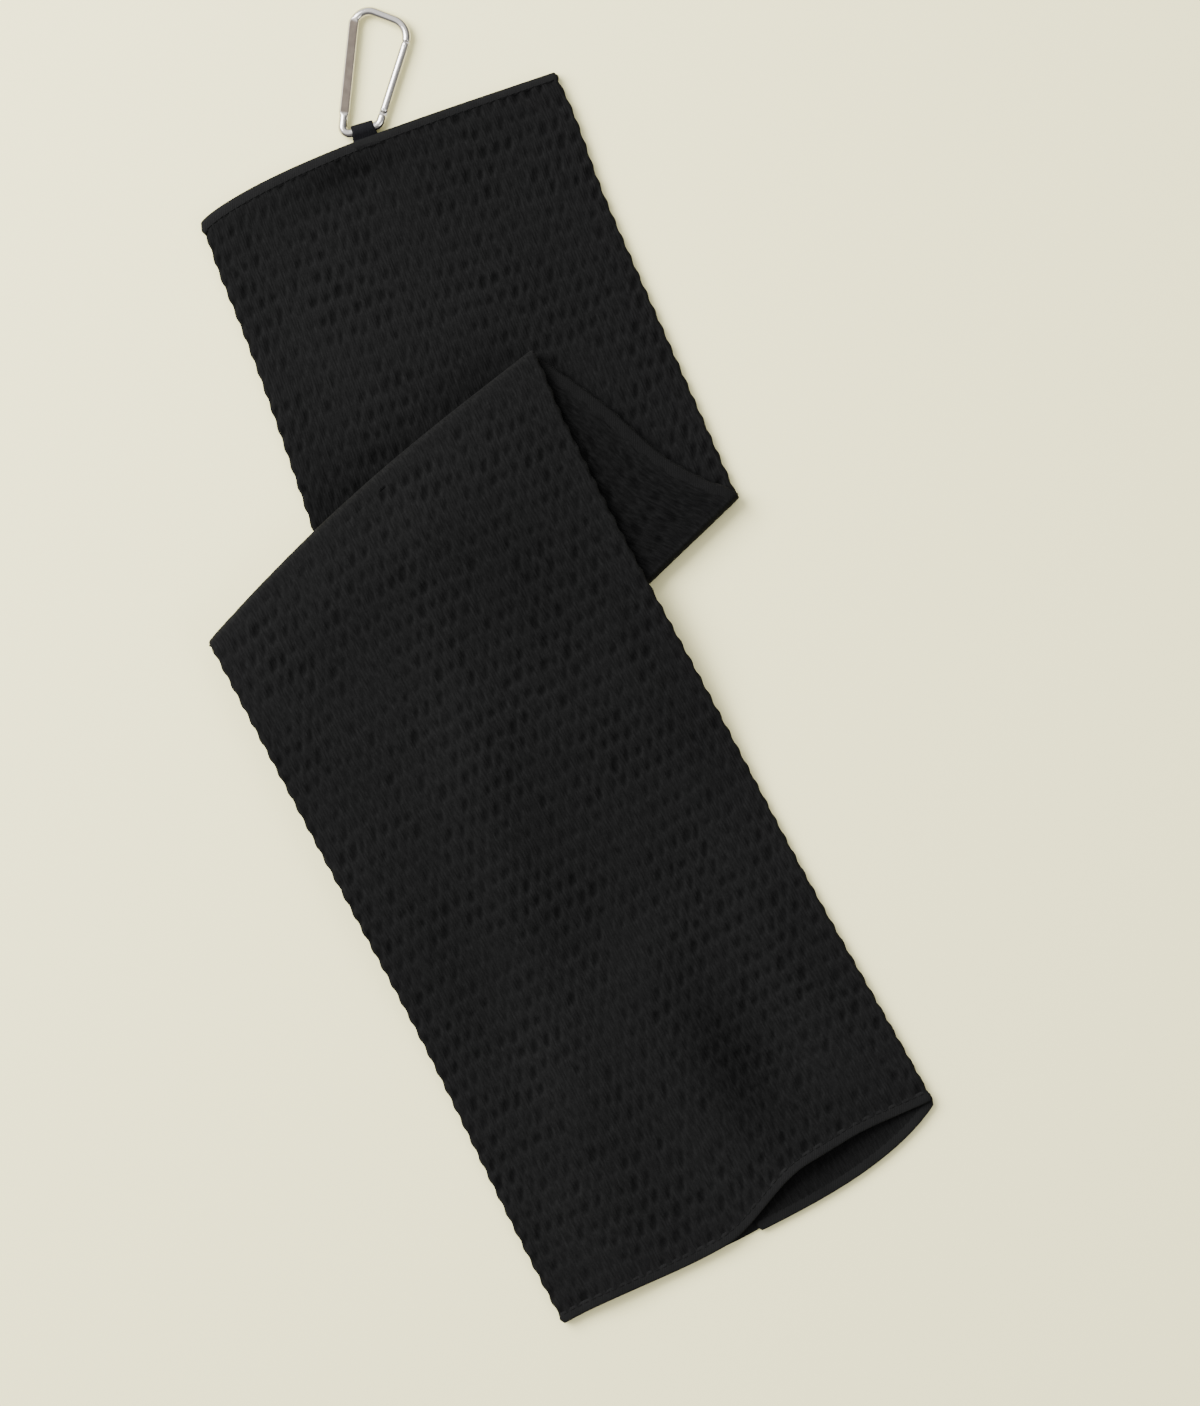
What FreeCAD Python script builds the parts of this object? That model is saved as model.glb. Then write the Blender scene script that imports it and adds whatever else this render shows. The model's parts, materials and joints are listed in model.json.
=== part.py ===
import FreeCAD, Part
import math
import os
import Sketcher
from FreeCAD import Placement, Rotation, Vector

# A golf towel of waffle cloth, folded lengthwise into a strip of two and three layers, then laid
# down in a zigzag of three legs (upper, middle, lower). A webbing loop sewn into the top hem holds
# a small spring-gate clip. +Z is up, the cloth lies on Z = 0, and the lower hem points to -Y.
# Lengths are in millimetres and angles in degrees, measured from +X towards +Y.

DRIVING_SIZES = {
    # the cloth
    "cloth_thickness": 1.5,
    "leg_gap": 0.4,
    "strip_width": 161.6,
    "flap_width": 80.8,
    "middle_gather": 5.2,
    "top_hem_gather": 17.1,
    "hem_depth": 4.5,
    "side_hem_depth": 5.0,
    "crease_gap": 0.3,
    # how the strip is laid
    "upper_length": 201.5,
    "middle_length": 92.5,
    "lower_length": 303.0,
    "upper_heading": -67.0,
    "middle_heading": 147.2,
    "lower_heading": -62.0,
    "upper_crease_angle": 43.7,
    "lower_crease_angle": 40.6,
    "bottom_hem_angle": 30.8,
    "top_hem_bow": 5.2,
    "step_start": 2.0,
    "step_run": 50.0,
    # threads
    "thread_width": 0.4,
    "thread_height": 0.3,
    "thread_inset": 1.0,
    # webbing loop
    "webbing_width": 8.6,
    "webbing_thickness": 0.8,
    "loop_offset": -1.8,
    "loop_reach": 3.8,
    "neck_start": 0.75,
    "loop_clearance": 0.1,
    "loop_lift": 0.1,
    "tail_width": 10.0,
    "slot_clearance": 0.05,
    "bartack_depth": 2.0,
    # clip body
    "wire_diameter": 3.4,
    "clip_turn": -6.0,
    "spine_offset": 7.8,
    "bow_height": 46.7,
    "bow_slope": 15.0,
    "bow_radius": 6.0,
    "shoulder_radius": 7.0,
    "bar_slope": 22.6,
    "foot_radius": 2.4,
    "heel_radius": 3.0,
    "nose_height": 34.8,
    "hinge_across": 7.15,
    "hinge_height": 8.2,
    # gate
    "gate_lean": 11.8,
    "gate_diameter": 3.3,
    "gate_length": 26.6,
    "gate_chamfer": 0.3,
    "leg_stand_off": 2.0,
    "tongue_thickness": 1.2,
    "tongue_half_width": 1.4,
    "tongue_reach": 1.6,
    "slot_depth": 2.4,
    "slot_side_clearance": 0.15,
    "rivet_radius": 0.6,
    "rivet_clearance": 0.05,
    "rivet_proud": 0.15,
    "pin_radius": 0.5,
    "pin_clearance": 0.2,
    "pin_height": 25.3,
    "latch_half_width": 1.2,
    "latch_wall": 0.6,
    "latch_notch_depth": 0.7,
    "bore_radius": 1.0,
    "bore_start": 1.2,
    "bore_end": 14.0,
    "plunger_clearance": 0.08,
    "plunger_gap": 0.1,
    "plunger_length": 3.0,
    "spring_wire": 0.2,
    "spring_turns": 10,
    # where the middle of the whole object stands in the layout's own frame, found below
    "centre_x": 0.0,
    "centre_y": 0.0,
}

# half the size of the plates that a leg is cut from, larger than any towel
REACH = 1000.0

document = FreeCAD.newDocument("golf_towel")
sheet = document.addObject("Spreadsheet::Sheet", "Sizes")
cells = {}
for row, (alias, value) in enumerate(DRIVING_SIZES.items(), start=1):
    sheet.set(f"A{row}", alias)
    sheet.set(f"B{row}", str(value))
    sheet.setAlias(f"B{row}", alias)
    cells[alias] = f"B{row}"
document.recompute()


# ---------------------------------------------------------------- expressions and points

def size(alias):
    """The sheet's cell as it is written in an expression."""
    return f"Sizes.{alias}"


def number(expression):
    """The present value of an expression."""
    return float(sheet.evalExpression(str(expression).replace("Sizes.", "")))


def moved(point, distance, angle):
    """The point that lies at a distance from another, along an angle."""
    across, along = point
    return (f"({across} + ({distance}) * cos({angle}))", f"({along} + ({distance}) * sin({angle}))")


def turned(across, along, angle):
    """A point of a piece's own frame once that frame is turned by an angle."""
    return (f"(({across}) * cos({angle}) - ({along}) * sin({angle}))",
            f"(({across}) * sin({angle}) + ({along}) * cos({angle}))")


# ---------------------------------------------------------------- sketches and features

def new_body(label):
    body = document.addObject("PartDesign::Body", label)
    body.Label = label
    return body


def new_sketch(body, name, role="XY_Plane"):
    sketch = body.newObject("Sketcher::SketchObject", name)
    plane = [feature for feature in body.Origin.OriginFeatures if feature.Role == role][0]
    sketch.AttachmentSupport = [(plane, "")]
    sketch.MapMode = "FlatFace"
    return sketch


def tie(sketch, constraint, expression=None):
    """Add a constraint, and bind its size to an expression."""
    index = sketch.addConstraint(constraint)
    if expression is not None:
        name = f"size_{index}"
        sketch.renameConstraint(index, name)
        sketch.setExpression(f"Constraints.{name}", str(expression))
    return index


def tie_point(sketch, element, end, point):
    """Hold an end of an element at a point given by two expressions."""
    tie(sketch, Sketcher.Constraint("DistanceX", -1, 1, element, end, number(point[0])), point[0])
    tie(sketch, Sketcher.Constraint("DistanceY", -1, 1, element, end, number(point[1])), point[1])


def flat(point):
    return Vector(number(point[0]), number(point[1]), 0)


def add_outline(sketch, corners, bowed=()):
    """A closed outline through the corners. Its bowed sides, given with their rises, are arcs that
    rise to the right of the way round, of radius (half chord squared + rise squared) / (2 rise)."""
    count = len(corners)
    first = sketch.GeometryCount
    for side in range(count):
        start = flat(corners[side])
        end = flat(corners[(side + 1) % count])
        if side in bowed:
            rise = number(bowed[side])
            outward = (end - start).cross(Vector(0, 0, 1)).normalize()
            top = (start + end) * 0.5 + outward * rise
            sketch.addGeometry(Part.Arc(start, top, end))
        else:
            sketch.addGeometry(Part.LineSegment(start, end))
    ends = []
    for side in range(count):
        # an arc runs anticlockwise in a sketch, so one that bows the other way starts at its end
        swap = side in bowed and number(bowed[side]) < 0
        ends.append((2, 1) if swap else (1, 2))
    for side in range(count):
        following = (side + 1) % count
        tie(sketch, Sketcher.Constraint("Coincident", first + side, ends[side][1],
                                        first + following, ends[following][0]))
        tie_point(sketch, first + side, ends[side][0], corners[side])
    for side in bowed:
        start = corners[side]
        end = corners[(side + 1) % count]
        chord = (flat(end) - flat(start)).Length
        rise = abs(number(bowed[side]))
        radius = (chord * chord / 4 + rise * rise) / (2 * rise)
        half = f"(({end[0]} - {start[0]})^2 + ({end[1]} - {start[1]})^2) / 4"
        tie(sketch, Sketcher.Constraint("Radius", first + side, radius),
            f"({half} + ({bowed[side]})^2) / (2 * abs({bowed[side]}))")


def add_rectangle(sketch, low_across, low_along, high_across, high_along):
    add_outline(sketch, [(low_across, low_along), (high_across, low_along),
                         (high_across, high_along), (low_across, high_along)])


def add_circle(sketch, centre, radius):
    index = sketch.addGeometry(Part.Circle(flat(centre), Vector(0, 0, 1), number(radius)))
    tie_point(sketch, index, 3, centre)
    tie(sketch, Sketcher.Constraint("Radius", index, number(radius)), radius)


def add_rounded_path(sketch, corners, radii):
    """Straight runs between the corners, joined by an arc of the given radius tangent to both runs
    at each corner between the ends. Each corner itself stays as a construction point."""
    points = [flat(corner) for corner in corners]
    starts = [points[0]]
    ends = []
    arcs = []
    for index, radius in enumerate(radii, start=1):
        back = (points[index - 1] - points[index]).normalize()
        ahead = (points[index + 1] - points[index]).normalize()
        half_angle = back.getAngle(ahead) / 2
        cut = number(radius) / math.tan(half_angle)
        centre = points[index] + (back + ahead).normalize() * (number(radius) / math.sin(half_angle))
        middle = centre - (back + ahead).normalize() * number(radius)
        ends.append(points[index] + back * cut)
        starts.append(points[index] + ahead * cut)
        arcs.append(Part.Arc(ends[-1], middle, starts[-1]))
    ends.append(points[-1])
    lines = [sketch.addGeometry(Part.LineSegment(start, end)) for start, end in zip(starts, ends)]
    tie_point(sketch, lines[0], 1, corners[0])
    tie_point(sketch, lines[-1], 2, corners[-1])
    for index, arc in enumerate(arcs, start=1):
        element = sketch.addGeometry(arc)
        begins = sketch.getPoint(element, 1)
        near, far = (1, 2) if begins.distanceToPoint(ends[index - 1]) < 1e-3 else (2, 1)
        corner = sketch.addGeometry(Part.Point(points[index]))
        tie_point(sketch, corner, 1, corners[index])
        tie(sketch, Sketcher.Constraint("PointOnObject", corner, 1, lines[index - 1]))
        tie(sketch, Sketcher.Constraint("PointOnObject", corner, 1, lines[index]))
        tie(sketch, Sketcher.Constraint("Tangent", lines[index - 1], 2, element, near))
        tie(sketch, Sketcher.Constraint("Tangent", element, far, lines[index], 1))
        tie(sketch, Sketcher.Constraint("Radius", element, number(radii[index - 1])), radii[index - 1])
        sketch.setConstruction(corner, True)


def extrude(kind, body, sketch, length, symmetric=False):
    """A Pad or a Pocket of a sketch by a length."""
    feature = body.newObject(f"PartDesign::{kind}", f"{sketch.Name}_{kind}")
    feature.Profile = sketch
    feature.SideType = "Symmetric" if symmetric else "One side"
    feature.setExpression("Length", str(length))
    return feature


def revolve(kind, body, sketch):
    """A Revolution or a Groove of a sketch once round the sketch's upright axis."""
    feature = body.newObject(f"PartDesign::{kind}", f"{sketch.Name}_{kind}")
    feature.Profile = sketch
    feature.ReferenceAxis = (sketch, ["V_Axis"])
    feature.Angle = 360
    return feature


# ---------------------------------------------------------------- the layout of the strip

LEG_HEIGHT = f"(3 * {size('cloth_thickness')})"
LEG_PITCH = f"({LEG_HEIGHT} + {size('leg_gap')})"
HEM_ANGLE = f"({size('upper_heading')} + 90)"

hem_middle = ("0", "0")
upper_crease_middle = moved(hem_middle, size("upper_length"), size("upper_heading"))
lower_crease_middle = moved(upper_crease_middle, size("middle_length"), size("middle_heading"))
foot_middle = moved(lower_crease_middle, size("lower_length"), size("lower_heading"))


class Line:
    """A line square or oblique across the strip: its middle, its angle and half its length."""

    def __init__(self, middle, angle, half):
        self.middle = middle
        self.angle = angle
        self.half = half

    def left(self, inset="0"):
        return moved(self.middle, f"-({self.half}) + ({inset})", self.angle)

    def right(self, inset="0"):
        return moved(self.middle, f"({self.half}) - ({inset})", self.angle)


def oblique_half(width, line_angle, heading):
    """Half of an oblique cut across a strip: half its width over the sine of the angle between."""
    return f"{width} / 2 / abs(sin({line_angle} - {heading}))"


# the strip is drawn in a little where it folds under the middle leg, and more at the sewn top hem
STRIP_WIDTH = size("strip_width")
MIDDLE_WIDTH = f"({STRIP_WIDTH} - {size('middle_gather')})"
TOP_HEM_WIDTH = f"({STRIP_WIDTH} - {size('top_hem_gather')})"

top_line = Line(hem_middle, HEM_ANGLE, f"{TOP_HEM_WIDTH} / 2")
upper_crease = Line(upper_crease_middle, size("upper_crease_angle"),
                    oblique_half(MIDDLE_WIDTH, size("upper_crease_angle"), size("middle_heading")))
lower_crease = Line(lower_crease_middle, size("lower_crease_angle"),
                    oblique_half(STRIP_WIDTH, size("lower_crease_angle"), size("lower_heading")))
bottom_line = Line(foot_middle, size("bottom_hem_angle"),
                   oblique_half(STRIP_WIDTH, size("bottom_hem_angle"), size("lower_heading")))


class Leg:
    """One leg of the zigzag: the lines it runs between, its heading, its level, and whether its
    back faces up."""

    def __init__(self, name, start, end, heading, start_gap, end_gap, level, back_up):
        self.name = name
        self.start = start
        self.end = end
        self.heading = heading
        self.start_gap = start_gap
        self.end_gap = end_gap
        self.level = level
        self.back_up = back_up

    def corners(self, left_inset="0", right_inset="0", from_right=None):
        """The four corners of a layer, held back from both ends. A layer that covers only the
        right of the strip gives its width from the right edge instead of a left inset."""
        result = []
        for line, gap in ((self.start, self.start_gap), (self.end, f"-({self.end_gap})")):
            if from_right is None:
                left = line.left(left_inset)
            else:
                left = line.right(from_right)
            right = line.right(right_inset)
            result.append(moved(left, gap, self.heading))
            result.append(moved(right, gap, self.heading))
        start_left, start_right, end_left, end_right = result
        return [start_right, start_left, end_left, end_right]

    def layer_level(self, layer):
        """The underside of layer 0 (back), 1 (flap) or 2 (front)."""
        place = 2 - layer if self.back_up else layer
        return f"({self.level} + {place} * {size('cloth_thickness')})"


upper_leg = Leg("upper", top_line, upper_crease, size("upper_heading"),
                size("hem_depth"), size("crease_gap"), "0", False)
middle_leg = Leg("middle", upper_crease, lower_crease, size("middle_heading"),
                 size("crease_gap"), size("crease_gap"), LEG_PITCH, True)
lower_leg = Leg("lower", lower_crease, bottom_line, size("lower_heading"),
                size("crease_gap"), size("hem_depth"), f"(2 * {LEG_PITCH})", False)

BACK, FLAP, FRONT = 0, 1, 2


def place_flat(body, level):
    """Stand a body of the layout's own frame at a level."""
    body.setExpression("Placement.Base.x", f"-{size('centre_x')}")
    body.setExpression("Placement.Base.y", f"-{size('centre_y')}")
    body.setExpression("Placement.Base.z", level)


def flat_layer(label, corners, level, thickness, bowed=None):
    """A layer of even thickness with the given outline."""
    body = new_body(label)
    sketch = new_sketch(body, f"{label}_outline")
    add_outline(sketch, corners, bowed or {})
    extrude("Pad", body, sketch, thickness)
    place_flat(body, level)
    return body


def stepped_layer(label, corners, level):
    """A layer that lies on the leg below and comes down beside the upper crease to the surface that
    the towel lies on. A ribbon with that step in it is extruded along the crease and then trimmed
    to the outline."""
    body = new_body(label)
    section = new_sketch(body, f"{label}_section", "YZ_Plane")
    section.AttachmentOffset = Placement(Vector(0, 0, 0), Rotation(Vector(0, 1, 0), 1))
    section.setExpression("AttachmentOffset.Rotation.Angle", f"{size('upper_crease_angle')} * 1 deg")
    angle = size("upper_crease_angle")
    crease = f"(-{upper_crease_middle[0]} * sin({angle}) + {upper_crease_middle[1]} * cos({angle}))"
    top = lower_leg.level
    stations = [(f"{REACH}", top), (f"({crease} - {size('step_start')})", top),
                (f"({crease} - {size('step_start')} - {size('step_run')})", "0"), (f"-{REACH}", "0")]
    upper_side = [(place, f"({height} + {size('cloth_thickness')})") for place, height in stations]
    add_outline(section, stations + upper_side[::-1])
    extrude("Pad", body, section, REACH, symmetric=True)
    trim = new_sketch(body, f"{label}_trim")
    add_rectangle(trim, f"-2 * {REACH}", f"-2 * {REACH}", f"2 * {REACH}", f"2 * {REACH}")
    add_outline(trim, corners)
    extrude("Pocket", body, trim, REACH, symmetric=True)
    place_flat(body, level)
    return body


def add_layers(leg, make):
    """The front, the flap, the back and the back's side hem of one leg."""
    hem = size("side_hem_depth")
    make(f"{leg.name}_front_panel", leg.corners(), FRONT)
    make(f"{leg.name}_inner_flap", leg.corners(from_right=size("flap_width")), FLAP)
    make(f"{leg.name}_back_panel", leg.corners(right_inset=hem), BACK)
    make(f"{leg.name}_side_hem", leg.corners(from_right=hem), BACK)


def make_upper_layer(label, corners, layer):
    bowed = {}
    if layer == FRONT:
        bowed = {0: f"{size('top_hem_bow')}"}
    flat_layer(label, corners, upper_leg.layer_level(layer), size("cloth_thickness"), bowed)


def make_middle_layer(label, corners, layer):
    flat_layer(label, corners, middle_leg.layer_level(layer), size("cloth_thickness"))


def make_lower_layer(label, corners, layer):
    stepped_layer(label, corners, f"({layer} * {size('cloth_thickness')})")


add_layers(upper_leg, make_upper_layer)
add_layers(middle_leg, make_middle_layer)
add_layers(lower_leg, make_lower_layer)


# ---------------------------------------------------------------- hems and their threads

def band(line, heading, start, end, from_right=None):
    """The corners of a band across the strip, between two distances past a line."""
    left = line.left() if from_right is None else line.right(from_right)
    right = line.right()
    return [moved(right, start, heading), moved(left, start, heading),
            moved(left, end, heading), moved(right, end, heading)]


BOW = size("top_hem_bow")
top_hem_sides = {0: BOW, 2: f"(-{BOW})"}

top_hem = flat_layer("top_hem", band(top_line, size("upper_heading"), "0", size("hem_depth")),
                     "0", LEG_HEIGHT, top_hem_sides)

thread_start = f"({size('hem_depth')} - {size('thread_inset')})"
thread_end = f"({thread_start} + {size('thread_width')})"
flat_layer("top_hem_thread", band(top_line, size("upper_heading"), thread_start, thread_end),
           LEG_HEIGHT, size("thread_height"), top_hem_sides)

for run, layer, reach in (("front", FRONT, None), ("inner", FLAP, size("flap_width")), ("back", BACK, None)):
    flat_layer(f"bottom_hem_{run}",
               band(bottom_line, size("lower_heading"), f"-{size('hem_depth')}", "0", reach),
               f"({layer} * {size('cloth_thickness')})", size("cloth_thickness"))
flat_layer("bottom_hem_thread",
           band(bottom_line, size("lower_heading"), f"-{thread_end}", f"-{thread_start}"),
           LEG_HEIGHT, size("thread_height"))


# ---------------------------------------------------------------- the webbing loop

WEBBING_LEVEL = (f"({size('wire_diameter')} / 2 + {size('loop_clearance')} + "
                 f"{size('webbing_thickness')} + {size('loop_lift')})")
LOOP_HEADING = f"({size('clip_turn')} + {size('bar_slope')} + 90)"
TAIL_THICKNESS = f"(2 * {size('webbing_thickness')})"
OUTWARD = f"({size('upper_heading')} + 180)"


def on_hem(along, outward):
    """A point given by its distance along the top hem from its middle, and outward from its chord."""
    return moved(moved(hem_middle, along, HEM_ANGLE), outward, OUTWARD)


def hem_rectangle(half_width, low, high):
    """A rectangle centred on the loop's place on the hem."""
    left = f"{size('loop_offset')} - {half_width}"
    right = f"{size('loop_offset')} + {half_width}"
    return [on_hem(left, low), on_hem(right, low), on_hem(right, high), on_hem(left, high)]


slot = new_sketch(top_hem, "tail_slot")
slot.setExpression("AttachmentOffset.Base.z", WEBBING_LEVEL)
slot_half = f"({size('tail_width')} / 2 + {size('slot_clearance')})"
add_outline(slot, hem_rectangle(slot_half, f"({BOW} - 2 * {size('hem_depth')})",
                                f"({BOW} + {size('hem_depth')})"))
extrude("Pocket", top_hem, slot, f"({TAIL_THICKNESS} + 2 * {size('slot_clearance')})", symmetric=True)

webbing_tail = new_body("webbing_tail")
tail_outline = new_sketch(webbing_tail, "tail_outline")
tail_ends = (f"({BOW} - {size('hem_depth')} + {size('loop_clearance')})",
             f"({BOW} - {size('loop_clearance')})")
add_outline(tail_outline, hem_rectangle(f"({size('tail_width')} / 2)", *tail_ends))
extrude("Pad", webbing_tail, tail_outline, TAIL_THICKNESS, symmetric=True)
place_flat(webbing_tail, WEBBING_LEVEL)

bartack_low = f"({BOW} - {size('hem_depth')} / 2 - {size('bartack_depth')} / 2)"
bartack_high = f"({bartack_low} + {size('bartack_depth')})"
flat_layer("loop_bartack", hem_rectangle(f"({size('tail_width')} / 2)", bartack_low, bartack_high),
           LEG_HEIGHT, size("thread_height"))

loop_root = on_hem(size("loop_offset"), BOW)
bar_middle = moved(loop_root, size("loop_reach"), LOOP_HEADING)


def place_turned(body, point, angle, level):
    """Stand a body at a point of the layout, turned about Z."""
    body.Placement = Placement(Vector(0, 0, 0), Rotation(Vector(0, 0, 1), 1))
    body.setExpression("Placement.Base.x", f"{point[0]} - {size('centre_x')}")
    body.setExpression("Placement.Base.y", f"{point[1]} - {size('centre_y')}")
    body.setExpression("Placement.Base.z", level)
    body.setExpression("Placement.Rotation.Angle", f"({angle}) * 1 deg")


webbing_loop = new_body("webbing_loop")
eye_radius = f"({size('wire_diameter')} / 2 + {size('loop_clearance')})"
loop_eye = new_sketch(webbing_loop, "loop_round", "YZ_Plane")
add_circle(loop_eye, (size("loop_reach"), "0"), f"({eye_radius} + {size('webbing_thickness')})")
extrude("Pad", webbing_loop, loop_eye, size("webbing_width"), symmetric=True)
loop_neck = new_sketch(webbing_loop, "loop_neck", "YZ_Plane")
add_rectangle(loop_neck, size("neck_start"), f"(-{size('webbing_thickness')})",
              size("loop_reach"), size("webbing_thickness"))
extrude("Pad", webbing_loop, loop_neck, size("webbing_width"), symmetric=True)
loop_hole = new_sketch(webbing_loop, "loop_hole", "YZ_Plane")
add_circle(loop_hole, (size("loop_reach"), "0"), eye_radius)
extrude("Pocket", webbing_loop, loop_hole, f"(2 * {size('webbing_width')})", symmetric=True)
place_turned(webbing_loop, loop_root, f"{LOOP_HEADING} - 90", WEBBING_LEVEL)


# ---------------------------------------------------------------- the clip's body
# In the clip's own frame the middle of the bar that the loop holds is the origin, and the spine
# runs along +Y.

LEAN = size("gate_lean")
SLOPE = size("bar_slope")
spine = f"(-{size('spine_offset')})"
nose_across = f"({size('hinge_across')} + ({size('nose_height')} - {size('hinge_height')}) * tan({LEAN}))"
shoulder_height = f"({size('bow_height')} - ({nose_across} - {spine}) * tan({size('bow_slope')}))"
heel_height = (f"(tan({SLOPE}) * ({size('hinge_across')} - {size('hinge_height')} * tan({LEAN}))"
               f" / (1 - tan({SLOPE}) * tan({LEAN})))")


def by_gate(across, along):
    """A point given by its distances across the gate (outwards) and along it from the rivet."""
    return (f"({size('hinge_across')} + ({across}) * cos({LEAN}) + ({along}) * sin({LEAN}))",
            f"({size('hinge_height')} - ({across}) * sin({LEAN}) + ({along}) * cos({LEAN}))")


carabiner_body = new_body("carabiner_body")
wire_path = new_sketch(carabiner_body, "wire_path")
add_rounded_path(
    wire_path,
    [
        (nose_across, size("nose_height")),
        (nose_across, shoulder_height),
        (spine, size("bow_height")),
        (spine, f"({spine} * tan({SLOPE}))"),
        (f"({heel_height} / tan({SLOPE}))", heel_height),
        by_gate("0", f"-{size('leg_stand_off')}"),
    ],
    [size("shoulder_radius"), size("bow_radius"), size("foot_radius"), size("heel_radius")],
)
wire_section = new_sketch(carabiner_body, "wire_section", "XZ_Plane")
wire_section.setExpression("AttachmentOffset.Base.z", f"-{size('nose_height')}")
add_circle(wire_section, (nose_across, "0"), f"({size('wire_diameter')} / 2)")
wire = carabiner_body.newObject("PartDesign::AdditivePipe", "wire")
wire.Profile = wire_section
wire.Spine = (wire_path, [f"Edge{index + 1}" for index in range(9)])

tongue = new_sketch(carabiner_body, "hinge_tongue")
half = size("tongue_half_width")
tongue_low = f"-({size('leg_stand_off')} + {size('tongue_half_width')} / 2)"
add_outline(tongue, [by_gate(f"-{half}", tongue_low), by_gate(half, tongue_low),
                     by_gate(half, size("tongue_reach")), by_gate(f"-{half}", size("tongue_reach"))])
extrude("Pad", carabiner_body, tongue, size("tongue_thickness"), symmetric=True)

latch = new_sketch(carabiner_body, "latch_tongue")
half = size("latch_half_width")
notch_half = f"({size('pin_radius')} + {size('pin_clearance')})"
notch_low = f"({size('pin_height')} - {notch_half})"
notch_high = f"({size('pin_height')} + {notch_half})"
latch_low = f"({notch_low} - {size('latch_wall')})"
latch_high = f"(({size('nose_height')} - {size('hinge_height')}) / cos({LEAN}) + {size('latch_wall')})"
add_outline(latch, [by_gate(f"-{half}", latch_low), by_gate(half, latch_low), by_gate(half, latch_high),
                    by_gate(f"-{half}", latch_high), by_gate(f"-{half}", notch_high),
                    by_gate(size("latch_notch_depth"), notch_high),
                    by_gate(size("latch_notch_depth"), notch_low), by_gate(f"-{half}", notch_low)])
extrude("Pad", carabiner_body, latch, size("tongue_thickness"), symmetric=True)

tongue_hole = new_sketch(carabiner_body, "tongue_hole")
add_circle(tongue_hole, by_gate("0", "0"), f"({size('rivet_radius')} + {size('rivet_clearance')})")
extrude("Pocket", carabiner_body, tongue_hole, size("wire_diameter"), symmetric=True)
place_turned(carabiner_body, bar_middle, size("clip_turn"), WEBBING_LEVEL)


# ---------------------------------------------------------------- the gate and what is in it
# In the gate's own frame the rivet is the origin and the gate runs along +Y.

hinge_shift = turned(size("hinge_across"), size("hinge_height"), size("clip_turn"))
hinge_point = (f"({bar_middle[0]} + {hinge_shift[0]})", f"({bar_middle[1]} + {hinge_shift[1]})")
GATE_TURN = f"({size('clip_turn')} - {LEAN})"
GATE_RADIUS = f"({size('gate_diameter')} / 2)"


def gate_piece(label):
    body = new_body(label)
    place_turned(body, hinge_point, GATE_TURN, WEBBING_LEVEL)
    return body


gate = gate_piece("gate")
gate_outline = new_sketch(gate, "gate_outline")
chamfer = size("gate_chamfer")
bulge = f"({GATE_RADIUS} * (1 - sqrt(0.5)))"
add_outline(gate_outline,
            [("0", f"-{GATE_RADIUS}"), (GATE_RADIUS, "0"),
             (GATE_RADIUS, f"({size('gate_length')} - {chamfer})"),
             (f"({GATE_RADIUS} - {chamfer})", size("gate_length")), ("0", size("gate_length"))],
            {0: bulge})
revolve("Revolution", gate, gate_outline)
slot_half = f"({size('tongue_thickness')} / 2 + {size('slot_side_clearance')})"
for name, low, high in (("hinge_slot", f"-{size('gate_diameter')}", size("slot_depth")),
                        ("latch_slot", f"({latch_low} - {size('pin_clearance')})",
                         f"(2 * {size('gate_length')})")):
    cut = new_sketch(gate, name, "YZ_Plane")
    add_rectangle(cut, low, f"-{slot_half}", high, slot_half)
    extrude("Pocket", gate, cut, f"(2 * {size('gate_diameter')})", symmetric=True)
bore = new_sketch(gate, "spring_bore")
add_rectangle(bore, "0", size("bore_start"), size("bore_radius"), size("bore_end"))
revolve("Groove", gate, bore)
for name, height, radius in (("rivet_hole", "0", "rivet_radius"),
                             ("pin_hole", size("pin_height"), "pin_radius")):
    cut = new_sketch(gate, name)
    add_circle(cut, ("0", height), size(radius))
    extrude("Pocket", gate, cut, f"(2 * {size('gate_diameter')})", symmetric=True)

gate_rivet = gate_piece("gate_rivet")
rivet_round = new_sketch(gate_rivet, "rivet_round")
add_circle(rivet_round, ("0", "0"), size("rivet_radius"))
extrude("Pad", gate_rivet, rivet_round, f"({size('gate_diameter')} + 2 * {size('rivet_proud')})",
        symmetric=True)

latch_pin = gate_piece("latch_pin")
pin_round = new_sketch(latch_pin, "pin_round")
add_circle(pin_round, ("0", size("pin_height")), size("pin_radius"))
extrude("Pad", latch_pin, pin_round, size("gate_diameter"), symmetric=True)

gate_plunger = gate_piece("gate_plunger")
plunger_outline = new_sketch(gate_plunger, "plunger_outline")
plunger_start = f"({size('tongue_reach')} + {size('plunger_gap')})"
plunger_end = f"({plunger_start} + {size('plunger_length')})"
add_rectangle(plunger_outline, "0", plunger_start,
              f"({size('bore_radius')} - {size('plunger_clearance')})", plunger_end)
revolve("Revolution", gate_plunger, plunger_outline)

gate_spring = gate_piece("gate_spring")
spring_section = new_sketch(gate_spring, "spring_section")
spring_start = f"({plunger_end} + {size('spring_wire')})"
spring_height = f"({size('bore_end')} - {size('spring_wire')} - {spring_start})"
add_circle(spring_section, (f"({size('bore_radius')} - {size('spring_wire')} - {size('plunger_clearance')})",
                            spring_start), f"({size('spring_wire')} / 2)")
coil = gate_spring.newObject("PartDesign::AdditiveHelix", "coil")
coil.Profile = spring_section
coil.ReferenceAxis = (spring_section, ["V_Axis"])
coil.Mode = "height-turns-angle"
coil.setExpression("Height", spring_height)
coil.setExpression("Turns", size("spring_turns"))


# ---------------------------------------------------------------- stand it on its own middle

def sub_parts():
    return [item for item in document.Objects if item.TypeId == "PartDesign::Body"]


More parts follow.
